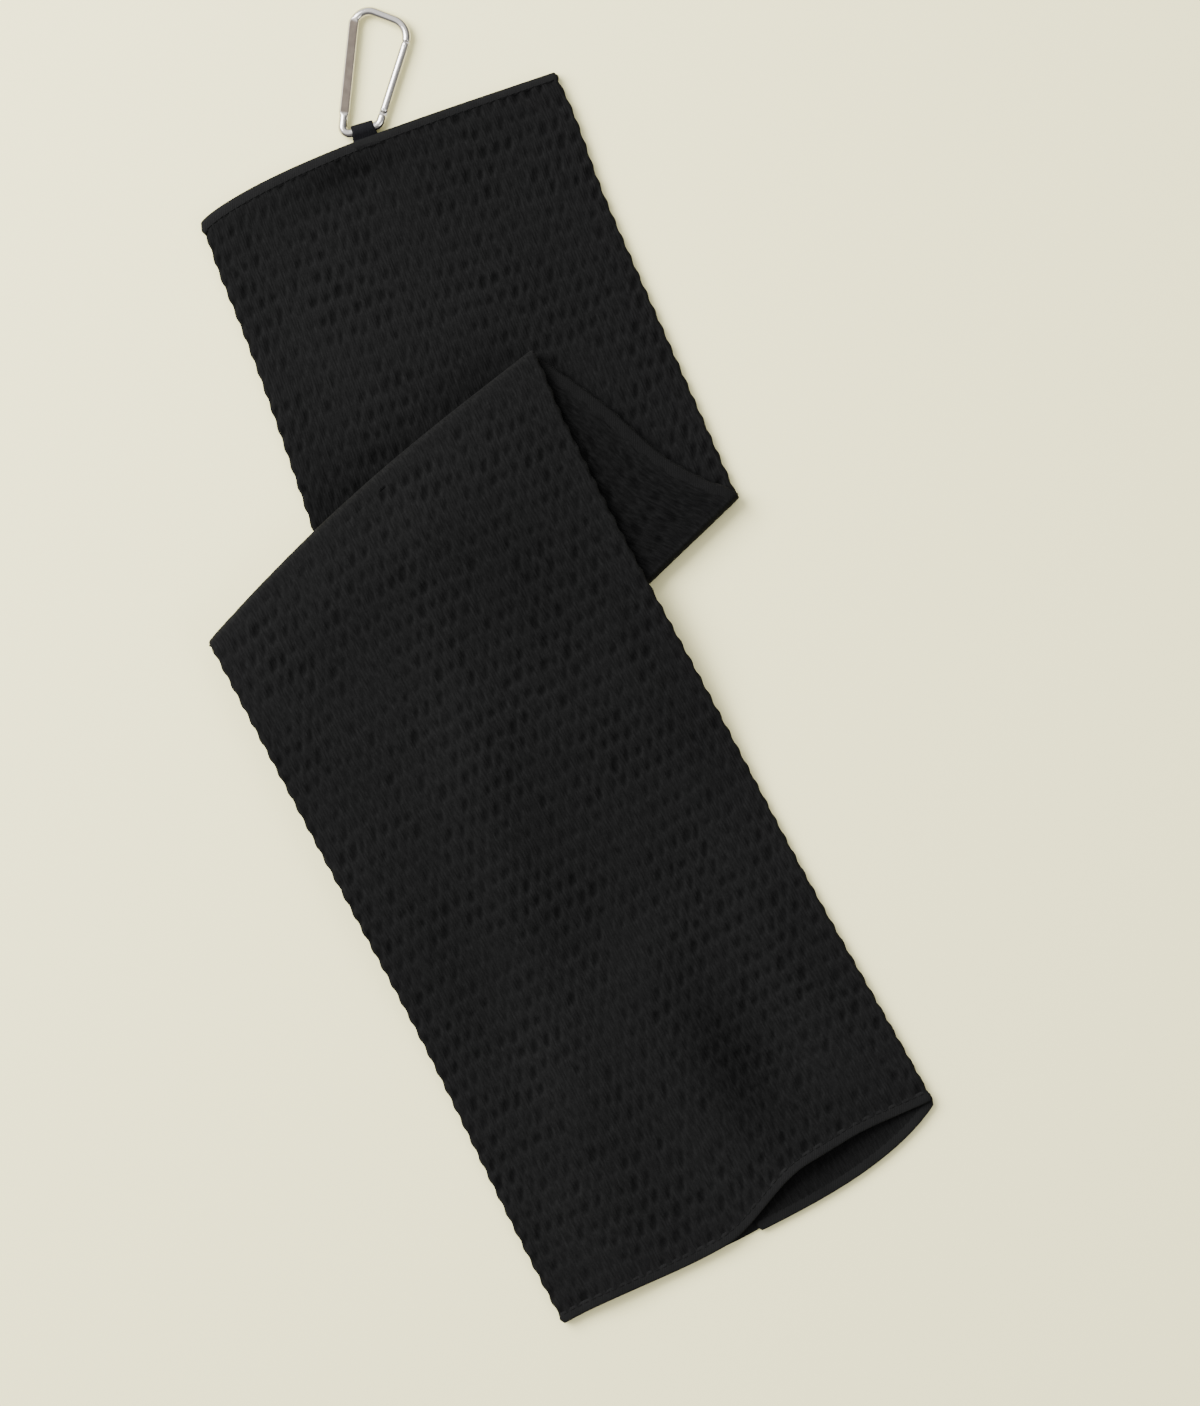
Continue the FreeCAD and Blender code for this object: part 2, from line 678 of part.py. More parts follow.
document.recompute()
whole = FreeCAD.BoundBox()
for item in sub_parts():
    whole.add(item.Shape.BoundBox)
sheet.set(cells["centre_x"], str(round(whole.Center.x, 4)))
sheet.set(cells["centre_y"], str(round(whole.Center.y, 4)))
document.recompute()

faults = []
for item in document.Objects:
    if "Invalid" in item.State or "Error" in item.State:
        faults.append(f"{item.Label}: {item.State}")
for item in sub_parts():
    if item.Shape.isNull() or not item.Shape.isValid() or item.Shape.Volume <= 0:
        faults.append(f"{item.Label}: its shape is null or not valid")
if faults:
    raise RuntimeError("; ".join(faults))


# ---------------------------------------------------------------- joint axes, and the files

def report(name, point, level):
    x = number(point[0]) - number(size("centre_x"))
    y = number(point[1]) - number(size("centre_y"))
    print(f"{name}: {x / 1000:.6f} {y / 1000:.6f} {number(level) / 1000:.6f} m")


report("upper crease", upper_crease_middle, f"{LEG_HEIGHT} + {size('leg_gap')} / 2")
report("lower crease", lower_crease_middle, f"{LEG_PITCH} + {LEG_HEIGHT} + {size('leg_gap')} / 2")
report("loop root", loop_root, f"{WEBBING_LEVEL} + {size('webbing_thickness')}")
report("bar middle", bar_middle, WEBBING_LEVEL)
report("hinge", hinge_point, WEBBING_LEVEL)

os.makedirs("parts", exist_ok=True)
for item in sub_parts():
    item.Shape.exportStep(f"parts/{item.Label}.step")
    box = item.Shape.BoundBox
    print(f"{item.Label}: volume {item.Shape.Volume:.1f} mm3, solids {len(item.Shape.Solids)}, "
          f"z {box.ZMin:.2f} to {box.ZMax:.2f}")
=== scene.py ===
"""A golf towel of black waffle cloth, folded lengthwise in three and laid down in a zigzag of three
legs, with a webbing loop and a small spring-gate clip. Lengths are in metres."""
import json
import math

import bpy
import numpy as np
from bpy.props import FloatProperty, FloatVectorProperty, PointerProperty
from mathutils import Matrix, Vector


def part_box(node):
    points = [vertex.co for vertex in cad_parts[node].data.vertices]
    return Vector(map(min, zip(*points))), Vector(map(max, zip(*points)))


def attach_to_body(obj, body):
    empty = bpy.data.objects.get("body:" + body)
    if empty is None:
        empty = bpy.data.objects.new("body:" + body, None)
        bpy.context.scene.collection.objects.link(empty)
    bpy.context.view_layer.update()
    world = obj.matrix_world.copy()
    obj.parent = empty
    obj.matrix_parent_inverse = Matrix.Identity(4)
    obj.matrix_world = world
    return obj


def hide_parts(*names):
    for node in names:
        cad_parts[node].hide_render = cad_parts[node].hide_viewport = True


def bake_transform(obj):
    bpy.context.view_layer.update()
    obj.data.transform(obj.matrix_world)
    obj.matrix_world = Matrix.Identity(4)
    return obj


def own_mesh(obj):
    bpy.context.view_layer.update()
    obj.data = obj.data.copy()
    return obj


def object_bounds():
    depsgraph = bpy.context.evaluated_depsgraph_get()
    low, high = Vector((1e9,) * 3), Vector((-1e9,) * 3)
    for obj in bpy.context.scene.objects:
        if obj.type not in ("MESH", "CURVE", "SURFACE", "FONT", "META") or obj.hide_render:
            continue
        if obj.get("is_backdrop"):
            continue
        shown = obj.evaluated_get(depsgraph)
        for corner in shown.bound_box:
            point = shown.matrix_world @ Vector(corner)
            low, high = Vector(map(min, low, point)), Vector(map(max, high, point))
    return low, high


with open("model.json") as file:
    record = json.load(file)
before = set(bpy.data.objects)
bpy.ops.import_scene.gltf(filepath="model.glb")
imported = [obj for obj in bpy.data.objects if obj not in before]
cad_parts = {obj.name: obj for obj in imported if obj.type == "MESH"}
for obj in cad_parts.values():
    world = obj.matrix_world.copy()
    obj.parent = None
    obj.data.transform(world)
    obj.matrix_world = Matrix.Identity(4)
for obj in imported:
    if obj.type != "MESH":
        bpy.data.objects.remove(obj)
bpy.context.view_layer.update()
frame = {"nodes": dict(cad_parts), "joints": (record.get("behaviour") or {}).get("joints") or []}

bl_info = {
    "name": "Golf towel",
    "version": (1, 0, 0),
    "blender": (4, 5, 0),
    "location": "3D View > Sidebar > Golf towel",
    "description": "Builds a folded waffle golf towel and its clip around the packed model",
    "category": "Add Mesh",
}

MM = 0.001
UP = np.array([0.0, 0.0, 1.0])


def linear(colour):
    """An sRGB hex colour such as #E0DED1 as linear red, green and blue."""
    parts = [int(colour[place:place + 2], 16) / 255 for place in (1, 3, 5)]
    return tuple(part / 12.92 if part <= 0.04045 else ((part + 0.055) / 1.055) ** 2.4 for part in parts)


def size(name, millimetres, description):
    return FloatProperty(name=name, description=description, default=millimetres * MM, unit="LENGTH",
                         precision=5)


def angle(name, degrees, description):
    return FloatProperty(name=name, description=description, default=math.radians(degrees),
                         subtype="ANGLE")


def colour(name, value, description):
    return FloatVectorProperty(name=name, description=description, default=linear(value),
                               subtype="COLOR", min=0, max=1)


# ---------------------------------------------------------------- what a user would change

class TowelSizes(bpy.types.PropertyGroup):
    """The folded towel's sizes."""
    strip_width: size("Strip width", 161.6, "Width of the towel folded in three")
    middle_width: size("Middle width", 156.4, "Width of the strip at its upper crease")
    top_width: size("Top width", 144.5, "Width of the strip at its sewn top hem")
    flap_width: size("Flap width", 80.8, "Width of the run folded in between the others")
    upper_length: size("Upper length", 201.5, "From the top hem to the upper crease")
    lower_length: size("Lower length", 303, "From the lower crease to the bottom hem")
    layer: size("Layer", 1.5, "Thickness of one run of the cloth")
    hem_depth: size("Hem depth", 4.5, "Depth of the top and bottom hems")
    side_hem: size("Side hem", 5, "Depth of the hem on the free edge")
    top_bow: size("Top bow", 6, "How far the sewn hem bows outwards")
    crease_bow: size("Crease bow", 7, "How far the lower crease bows outwards")
    fold_reach: size("Fold reach", 2.5, "How far a crease stands out past its hinge")
    mouth_lift: size("Mouth lift", 5.5, "How far the front run arches up at the bottom")
    step_run: size("Step", 50, "Length over which the lower leg comes down")
    step_start: size("Step start", 2, "Where it starts past the upper crease")


class LoopSizes(bpy.types.PropertyGroup):
    """The webbing loop's sizes."""
    width: size("Width", 8.6, "Width of the webbing at the clip")
    tail_width: size("Tail width", 10, "Width of the webbing at the hem")
    thickness: size("Thickness", 0.8, "Thickness of the webbing")
    eye: size("Eye", 1.8, "Radius of the round that the clip's bar goes through")
    neck: size("Neck", 0.75, "Where the two layers part, past the hem's edge")
    tail: size("Tail", 4.4, "Length sewn inside the hem")
    pucker: size("Pucker", 0.05, "How deep the webbing's ribs are")
    rib: size("Rib", 0.9, "Distance of the webbing's ribs")


class ClipSizes(bpy.types.PropertyGroup):
    """The clip's sizes, in its own frame: the middle of the bar in the loop is its origin, and its
    spine runs along +Y."""
    wire: size("Wire", 3.4, "Diameter of the wire")
    spine_width: size("Spine width", 4.1, "Width of the flattened spine")
    spine_thickness: size("Spine thickness", 2.7, "Thickness of the flattened spine")
    spine_low: size("Spine low", 5.0, "Height at which the flat begins")
    spine_high: size("Spine high", 40, "Height at which the flat ends")
    spine_offset: size("Spine offset", 7.8, "From the bar's middle to the spine")
    bow_height: size("Bow height", 46.7, "Height of the corner at the spine's top")
    nose_height: size("Nose height", 34.8, "Height of the open end")
    shoulder_radius: size("Shoulder radius", 7, "Bend over the gate")
    bow_radius: size("Bow radius", 6, "Bend over the spine")
    foot_radius: size("Foot radius", 2.4, "Bend under the spine")
    heel_radius: size("Heel radius", 3, "Bend under the gate")
    leg_stand_off: size("Stand-off", 2, "From the wire's end to the rivet")
    tongue: size("Tongue", 1.2, "Thickness of the tongues at the wire's ends")
    turn: angle("Turn", -6.0, "How the clip is turned on the floor")
    bow_slope: angle("Bow slope", 15.0, "Slope of the bow")
    bar_slope: angle("Bar slope", 22.6, "Slope of the bar in the loop")
    gate_lean: angle("Gate lean", 11.8, "Lean of the gate")
    spring_low: size("Spring low", 4.75, "From the rivet to the plunger's end")
    spring_high: size("Spring high", 13.95, "From the rivet to the end of the gate's bore")
    spring_radius: size("Spring radius", 0.85, "Radius of the coil at the middle of its wire")
    spring_wire: size("Spring wire", 0.2, "Diameter of the spring's wire")


class TowelWeave(bpy.types.PropertyGroup):
    """The waffle weave's sizes."""
    across: size("Pitch across", 5.18, "Width of one waffle cell")
    along: size("Pitch along", 7.5, "Length of one waffle cell")
    pit_width: size("Pit width", 2.5, "Width of the hollow in a cell")
    pit_length: size("Pit length", 3.9, "Length of the hollow in a cell")
    pit_depth: size("Pit depth", 0.9, "Depth of the hollow in a cell")
    pit_lean: FloatProperty(name="Pit lean", description="Sideways run of a hollow per unit of length",
                            default=0.42)
    spacing_across: size("Mesh across", 0.95, "Distance of mesh lines across the strip")
    spacing_along: size("Mesh along", 1.2, "Distance of mesh lines along the strip")


class TowelColours(bpy.types.PropertyGroup):
    """The colours of the cloth, thread, webbing and metal."""
    ridge: colour("Ridge", "#0F0F0F", "Waffle cloth on its ridges")
    # painted shade: the waffle's hollows are coloured darker than its ridges
    pit_shade: colour("Pit", "#090909", "Waffle cloth in its hollows")
    hem: colour("Hem", "#151515", "Plain turned hem")
    side_hem: colour("Side hem", "#101010", "Hem on the free edge")
    thread: colour("Thread", "#131313", "Sewing thread")
    webbing: colour("Webbing", "#131315", "Woven loop")
    aluminium: colour("Aluminium", "#C4C0BC", "Polished clip")
    # spine: darker than the aluminium, a painted dark reflection on the satin flat
    spine: colour("Spine", "#453F39", "Satin flat of the clip")
    steel: colour("Steel", "#B9B8B5", "Pins and spring")
    floor: colour("Floor", "#F0EAB4", "Floor")


# ---------------------------------------------------------------- the strip's lines and its path

BACK, FLAP, FRONT = range(3)
UPPER_LEG, UPPER_FOLD, MIDDLE_LEG, LOWER_FOLD, LOWER_LEG = range(5)
# headings of the legs and of the bottom hem, in degrees from +X towards +Y
UPPER_HEADING, MIDDLE_HEADING, LOWER_HEADING, BOTTOM_HEADING = -67.0, 147.2, -62.0, 30.8
# shares of the middle and lower legs at which a run is cut, just before and after the lower crease
SEAM_BEFORE, SEAM_AFTER = 0.968, 0.013
FOLD_LENGTH = 14 * MM


def hinge(name):
    """A point on a joint's axis, and the axis."""
    joint = next(item for item in frame["joints"] if item["name"] == name)
    return np.array(joint["pos_m"]), np.array(joint["axis"])


def heading(degrees):
    """The unit vector on the floor at an angle from +X towards +Y."""
    return np.array([math.cos(math.radians(degrees)), math.sin(math.radians(degrees)), 0.0])


def ramp(value, low, high):
    """0 below low, 1 above high, and 3 t^2 - 2 t^3 between them."""
    share = np.clip((value - low) / (high - low), 0, 1)
    return share * share * (3 - 2 * share)


def hump(value, middle, half):
    """A bell, exp(-((value - middle) / half)^2)."""
    return np.exp(-((value - middle) / half) ** 2)


class Strip:
    """The folded strip as a function of a place across it, from 0 at its left edge to 1 at its right,
    a place along it and a height in its stack of three layers."""

    # how far the left edge stands out at the upper crease, in millimetres
    left_edge, crease_sway = 1.1, 6.0

    def __init__(self):
        self.sizes = sizes = bpy.context.scene.towel_sizes
        upper, self.upper_line = hinge("upper_fold")
        lower, lower_axis = hinge("lower_fold")
        self.lower_line = -lower_axis
        self.fold_height = {UPPER_FOLD: upper[2], LOWER_FOLD: lower[2]}
        self.pitch = lower[2] - upper[2]
        self.upper_middle, self.lower_middle = upper * [1, 1, 0], lower * [1, 1, 0]
        self.middle_length = float(np.linalg.norm(self.lower_middle - self.upper_middle))
        self.outward = {UPPER_FOLD: np.cross(self.upper_line, UP), LOWER_FOLD: np.cross(UP, self.lower_line)}
        self.sideways = [self.upper_line] * 3 + [self.lower_line, heading(LOWER_HEADING + 90)]
        self.top_middle = self.upper_middle - sizes.upper_length * heading(UPPER_HEADING)
        self.foot_middle = self.lower_middle + sizes.lower_length * heading(LOWER_HEADING)

    def oblique(self, middle, line, width, direction, across):
        """Points on a line across the strip, oblique to its heading."""
        reach = width / np.linalg.norm(np.cross(line, direction))
        return middle + np.multiply.outer((across - 0.5) * reach, line)

    def top(self, across):
        """The top hem's line. It bows outwards by sin(pi a^0.62)."""
        share = np.clip(across, 0, 1) ** 0.62
        chord = self.top_middle + np.multiply.outer((across - 0.5) * self.sizes.top_width,
                                                    heading(UPPER_HEADING + 90))
        bow = self.sizes.top_bow * np.sin(math.pi * share)
        return chord - np.multiply.outer(bow, heading(UPPER_HEADING))

    def upper_crease(self, across):
        return self.oblique(self.upper_middle, self.upper_line, self.sizes.middle_width,
                            heading(MIDDLE_HEADING), across)

    def lower_hinge(self, across):
        return self.oblique(self.lower_middle, self.lower_line, self.sizes.strip_width,
                            heading(LOWER_HEADING), across)

    def lower_crease(self, across):
        """The lower crease's line. It bows outwards by sin(pi a^0.9), and a little at its right end."""
        share = np.clip(across, 0, 1)
        bow = self.sizes.crease_bow * (0.75 * np.sin(math.pi * share ** 0.9) + 0.62 * share ** 1.5)
        return self.lower_hinge(across) + np.multiply.outer(bow, self.outward[LOWER_FOLD])

    def foot_line(self, across):
        return self.oblique(self.foot_middle, heading(BOTTOM_HEADING), self.sizes.strip_width,
                            heading(LOWER_HEADING), across)

    def foot_shift(self, across, panel):
        """How many millimetres a run's bottom edge stands out from the straight line. The front stands
        out left of the middle and draws back in an arch right of it, and the others stand out there."""
        if panel == FRONT:
            arch = ramp(across, 0.41, 0.68)
            shift = 6 * ramp(across, 0, 0.42) * (1 - arch)
            return shift - 5.4 * arch * (1 - 0.8 * ramp(across, 0.78, 1.05))
        corner = 1 - np.clip(across, 0, 1) ** 8
        if panel == FLAP:
            return 10.4 * ramp(across, -0.2, 0.8) * corner
        return 7.2 * ramp(across, 0.1, 0.5) * corner

    def reach(self, radius):
        """How far past its hinge a fold stands out at a radius from it."""
        return radius * self.sizes.fold_reach / self.fold_height[UPPER_FOLD]

    def place(self, stretch, share, across, height, panel):
        """Points at a share of the way along a stretch, at a height in the stack of layers. Along a
        leg they lie straight between its lines. Round a fold they go half round an ellipse."""
        up_one = 2 * self.fold_height[UPPER_FOLD] - height
        if stretch == UPPER_LEG:
            plan = self.mix(self.top(across), self.upper_crease(across), share)
            level = height + self.upper_waves(across, share) * (panel == FRONT)
        elif stretch == UPPER_FOLD:
            plan, level = self.round_fold(stretch, self.upper_crease(across), height, share)
        elif stretch == MIDDLE_LEG:
            plan = self.mix(self.upper_crease(across), self.lower_crease(across), share)
            level = up_one
        elif stretch == LOWER_FOLD:
            plan, level = self.round_fold(stretch, self.lower_crease(across), up_one, share)
        else:
            plan = self.mix(self.lower_crease(across), self.foot_line(across), share)
            plan = plan + np.multiply.outer(MM * self.foot_shift(across, panel) * ramp(share, 0.7, 1),
                                            heading(BOTTOM_HEADING - 90))
            level = height + self.lower_level(plan, panel)
            level = level + self.lower_waves(across, share) * (panel == FRONT)
        result = plan + np.multiply.outer(MM * self.sway(stretch, across, share), self.sideways[stretch])
        result[..., 2] = level
        return result

    def sway(self, stretch, across, share):
        """The strip's edges aren't quite straight: how many millimetres each leg widens or narrows."""
        left, right = 1 - across, across
        if stretch == UPPER_LEG:
            edge = self.left_edge * ramp(share, 0, 0.1) + self.crease_sway * ramp(share, 0.15, 0.75)
            return 2.6 * hump(share, 0.08, 0.14) * right - edge * left
        if stretch == UPPER_FOLD:
            return -(self.left_edge + self.crease_sway) * left
        if stretch == MIDDLE_LEG:
            sag = 4.2 * hump(share, 0.3, 0.25) * ramp(share, 0, 0.12)
            return -(self.left_edge + self.crease_sway) * (1 - ramp(share, 0, 1)) * left - sag * right
        if stretch == LOWER_FOLD:
            return 0 * across
        inward = 3.0 * hump(share, 0.24, 0.26) + 2.5 * hump(share, 0.68, 0.24)
        return -(inward * right + 3.2 * ramp(share, 0.5, 0.95) * left) * ramp(share, 0, 0.08)

    def mix(self, start, end, share):
        return start + (end - start) * np.asarray(share)[..., None]

    def round_fold(self, stretch, crease, height, share):
        """Half round a fold: out by the reach times cos, and up by the radius times sin."""
        radius = self.fold_height[stretch] - height
        turn = (share - 0.5) * math.pi
        plan = crease + np.multiply.outer(self.reach(radius) * np.cos(turn), self.outward[stretch])
        return plan, self.fold_height[stretch] + radius * np.sin(turn)

    def lower_level(self, plan, panel):
        """The lower leg lies on the middle one, and comes down to the floor past the upper crease. Its
        front run spans the step and comes down more slowly than the runs under it."""
        past = (plan - self.upper_middle) @ self.outward[UPPER_FOLD]
        run = self.sizes.step_run * (1.9 if panel == FRONT else 1.0)
        down = ramp(past, self.sizes.step_start, self.sizes.step_start + run)
        return 2 * self.pitch * (1 - down)

    def upper_waves(self, across, share):
        """Soft hollows of the front run of the upper leg, the deepest under the loop."""
        dip = -0.9 * hump(across, 0.42, 0.2) * hump(share, 0.07, 0.035)
        folds = -0.45 * (1 + np.sin(2.2 * math.pi * across + 1.2 * share + 0.6))
        over_flap = 1 - 0.92 * ramp(across, 0.4, 0.52)
        inside = ramp(share, 0.05, 0.3) * ramp(1 - share, 0, 0.1) * ramp(across, 0.02, 0.12)
        return MM * over_flap * (dip + folds * inside)

    def lower_waves(self, across, share):
        """Soft long ridges of the front run of the lower leg, and its arch over the open mouth."""
        inside = ramp(across, 0.01, 0.14) * ramp(1 - across, 0.01, 0.14) * ramp(share, 0.02, 0.12)
        long_ridges = 2.3 * hump(across, self.ridge_line(share), 0.1) + 1.2 * hump(across, 0.88, 0.07)
        by_crease = 1.8 * hump(across, 0.5, 0.3) * hump(share, 0.06, 0.05)
        by_edge = 1.0 * hump(across, 0.09, 0.05) * hump(share, 0.55, 0.3)
        arch = hump(across, 0.68, 0.16) * ramp(share, 0.84, 1)
        ridges = (long_ridges + by_crease + by_edge) * inside * ramp(1 - share, -0.2, 0.15)
        return MM * ridges + self.sizes.mouth_lift * arch

    def ridge_line(self, share):
        """Where the lower leg's long soft ridge runs: it crosses the strip towards its left edge."""
        return 0.59 - 0.45 * share

    def painted_shading(self, stretch, share, across, panel, plan):
        """Painted light and shade: how much lighter or darker the cloth is coloured where light and shade
        fall: lighter over creases and ridges, darker in the hollows beside them, under the loop and on the
        middle leg."""
        if stretch == MIDDLE_LEG:
            # painted shade over the middle leg, with a painted highlight along its rim at the right edge
            return -0.3 + 0.2 * hump(across, 1, 0.04) + 0 * share
        if panel != FRONT or stretch == UPPER_FOLD:
            return 0 * across
        if stretch == UPPER_LEG:
            # painted highlight on the left, and painted shade in the dip under the loop and beside the lower
            # crease, where the lower leg overhangs
            beside = (plan - self.lower_middle) @ self.outward[LOWER_FOLD]
            return (0.14 * hump(across, 0.25, 0.25) * hump(share, 0.3, 0.2)
                    - 0.4 * hump(across, 0.4, 0.13) * hump(share, 0.045, 0.03)
                    - 0.36 * hump(beside, 2 * MM, 20 * MM) * (1 - ramp(across, 0.5, 0.75)))
        # painted highlight over the lower crease
        over_crease = 0.2 * (1 - 0.6 * across)
        if stretch == LOWER_FOLD:
            return over_crease
        # painted highlight over the crease and along the long ridge, lighter over the leg's far part, and
        # painted shade in two hollows
        return (over_crease * hump(share, 0, 0.07) + 0.1 * ramp(share, 0.2, 0.5)
                + 0.06 * hump(across, self.ridge_line(share), 0.09) * ramp(share, 0.05, 0.2)
                - 0.42 * hump(across, 0.635, 0.08) * hump(share, 0.84, 0.13)
                - 0.15 * hump(across, 0.76, 0.14) * hump(share, 0.2, 0.1))

    def stretches(self, tuck):
        """The stretches that each piece of a run goes along, each with its first and last shares and
        its length. The first piece starts tuck inside the top hem, and the last ends so at the foot."""
        inside = self.sizes.hem_depth - tuck
        upper, middle, lower = self.sizes.upper_length, self.middle_length, self.sizes.lower_length
        return {
            "upper": [(UPPER_LEG, inside / upper, 1.0, upper), (UPPER_FOLD, 0.0, 1.0, FOLD_LENGTH),
                      (MIDDLE_LEG, 0.0, SEAM_BEFORE, middle)],
            "crease": [(MIDDLE_LEG, SEAM_BEFORE, 1.0, middle), (LOWER_FOLD, 0.0, 1.0, FOLD_LENGTH),
                       (LOWER_LEG, 0.0, SEAM_AFTER, lower)],
            "lower": [(LOWER_LEG, SEAM_AFTER, 1 - inside / lower, lower)],
        }


# ---------------------------------------------------------------- the weave's relief

def cell_random(column, row, seed):
    """A number from 0 to 1 for each cell, the fraction of a large sine of its column and row."""
    value = np.sin(column * 127.1 + row * 311.7 + seed * 74.7) * 43758.5453
    return value - np.floor(value)


def pits(run, length):
    """How deep the weave is, from 0 on its ridges to 1 in its hollows, at cloth coordinates. Each
    cell has one hollow, a rounded box that leans, with its own small shift, size and depth. The cells'
    lines waver by about a millimetre, and patches of them are shallower."""
    weave = bpy.context.scene.towel_weave
    run = run + 0.0007 * np.sin(length / 0.031 + run / 0.047) + 0.0004 * np.sin(length / 0.013)
    length = length + 0.0008 * np.sin(run / 0.027 + length / 0.06) + 0.0004 * np.sin(run / 0.011)
    column = np.floor(run / weave.across)
    row = np.floor(length / weave.along)
    shift_across, shift_along, widen, deepen, lengthen = [cell_random(column, row, seed)
                                                          for seed in range(1, 6)]
    endways = length - (row + 0.5) * weave.along
    sideways = run - (column + 0.5) * weave.across + weave.pit_lean * endways
    sideways = sideways - (shift_across - 0.5) * 1.1 * MM
    endways = endways - (shift_along - 0.5) * 1.5 * MM
    edge = 0.95 * MM
    wide = ramp(weave.pit_width / 2 * (0.65 + 0.7 * widen) - np.abs(sideways), -edge, edge)
    long = ramp(weave.pit_length / 2 * (0.6 + 0.8 * lengthen) - np.abs(endways), -edge * 1.4, edge * 1.4)
    swirl = np.sin(run / 0.013 + 2 * np.sin(length / 0.021)) * np.sin(length / 0.017 + run / 0.03)
    patch = 0.5 + 0.5 * swirl
    return wide * long * (0.3 + 0.45 * deepen + 0.45 * patch)


# ---------------------------------------------------------------- meshes

def grid_faces(rows, columns, first=0, around=False):
    """Quads of a grid of points, row by row. A grid that closes on itself joins its last column."""
    numbers = first + np.arange(rows * columns).reshape(rows, columns)
    if around:
        numbers = np.concatenate([numbers, numbers[:, :1]], axis=1)
    return np.stack([numbers[:-1, :-1], numbers[:-1, 1:], numbers[1:, 1:], numbers[1:, :-1]],
                    axis=-1).reshape(-1, 4)


def new_piece(name, points, faces, material, uv=None, marks=None):
    """An object from points and faces, smooth, with a UV per point in metres of cloth, and marks,
    which are named numbers from 0 to 1 for each point."""
    mesh = bpy.data.meshes.new(name)
    mesh.from_pydata(points.reshape(-1, 3).tolist(), [], [list(face) for face in faces])
    mesh.polygons.foreach_set("use_smooth", np.ones(len(mesh.polygons), bool))
    if uv is not None:
        layer = mesh.uv_layers.new(name="cloth")
        corner = np.zeros(len(mesh.loops), np.int32)
        mesh.loops.foreach_get("vertex_index", corner)
        layer.data.foreach_set("uv", uv.reshape(-1, 2)[corner].astype(np.float32).ravel())
    for mark, values in (marks or {}).items():
        attribute = mesh.attributes.new(mark, "FLOAT", "POINT")
        attribute.data.foreach_set("value", values.astype(np.float32).ravel())
    mesh.validate()
    mesh.update()
    mesh.materials.append(material)
    piece = bpy.data.objects.new(name, mesh)
    bpy.context.scene.collection.objects.link(piece)
    return piece


def sheet_piece(name, outer, inner, material, uv, pit_shade, painted_shading):
    """A closed sheet from the grids of its two faces, joined round their rims."""
    rows, columns = outer.shape[:2]
    count = rows * columns
    numbers = np.arange(count).reshape(rows, columns)
    rim = np.concatenate([numbers[0, :-1], numbers[:-1, -1], numbers[-1, :0:-1], numbers[:0:-1, 0]])
    following = np.roll(rim, -1)
    sides = np.stack([following, rim, rim + count, following + count], axis=-1)
    faces = np.concatenate([grid_faces(rows, columns), grid_faces(rows, columns, count)[:, ::-1], sides])
    row, column = rows // 2, columns // 2
    here = outer[row, column]
    normal = np.cross(outer[row, column + 1] - here, outer[row + 1, column] - here)
    if normal @ (here - inner[row, column]) < 0:
        faces = faces[:, ::-1]
    # marks for the colour: painted shade in the hollows, and painted light and shade over the cloth
    marks = {"pit_shade": np.concatenate([pit_shade.ravel(), 0 * pit_shade.ravel()]),
             "painted_shading": np.tile(0.5 + 0.5 * painted_shading.ravel(), 2)}
    piece = new_piece(name, np.concatenate([outer.reshape(-1, 3), inner.reshape(-1, 3)]), faces, material,
                      np.concatenate([uv.reshape(-1, 2)] * 2), marks)
    piece.data.set_sharp_from_angle(angle=math.radians(75))
    return piece


def tube_piece(name, rings, material, uv=None, marks=None):
    """A closed tube from its rings of points, with a fan over each end."""
    rows, columns = rings.shape[:2]
    faces = grid_faces(rows, columns, around=True).tolist()
    first = np.arange(columns)
    last = first + (rows - 1) * columns
    faces += [[one, rows * columns, other] for one, other in zip(first, np.roll(first, -1))]
    faces += [[other, rows * columns + 1, one] for one, other in zip(last, np.roll(last, -1))]
    middle = rings[rows // 2]
    turn = np.cross(middle[1] - middle[0], rings[rows // 2 + 1, 0] - middle[0])
    if turn @ (middle[0] - middle.mean(0)) < 0:
        faces = [face[::-1] for face in faces]
    if uv is not None:
        uv = np.concatenate([uv.reshape(-1, 2), uv[0].mean(0)[None], uv[-1].mean(0)[None]])
    marks = {mark: np.concatenate([values.ravel(), values[0, :1], values[-1, :1]])
             for mark, values in (marks or {}).items()}
    points = np.concatenate([rings.reshape(-1, 3), rings[0].mean(0)[None], rings[-1].mean(0)[None]])
    return new_piece(name, points, faces, material, uv, marks)


def rounded_box(count):
    """Points round a box with rounded corners, from -1 to 1 each way: cos and sin to the power 0.6."""
    around = np.linspace(0, 2 * math.pi, count + 1)[:-1]
    return [np.sign(wave) * np.abs(wave) ** 0.6 for wave in (np.cos(around), np.sin(around))]


# ---------------------------------------------------------------- the cloth's runs

def stations(parts, spacing):
    """For a list of stretches with their first and last shares and their lengths, each stretch with
    the shares of its rows of points."""
    for place, (stretch, first, last, length) in enumerate(parts):
        count = max(int(round(length * (last - first) / spacing)), 3)
        yield stretch, np.linspace(first, last, count + 1)[(place > 0):, None]


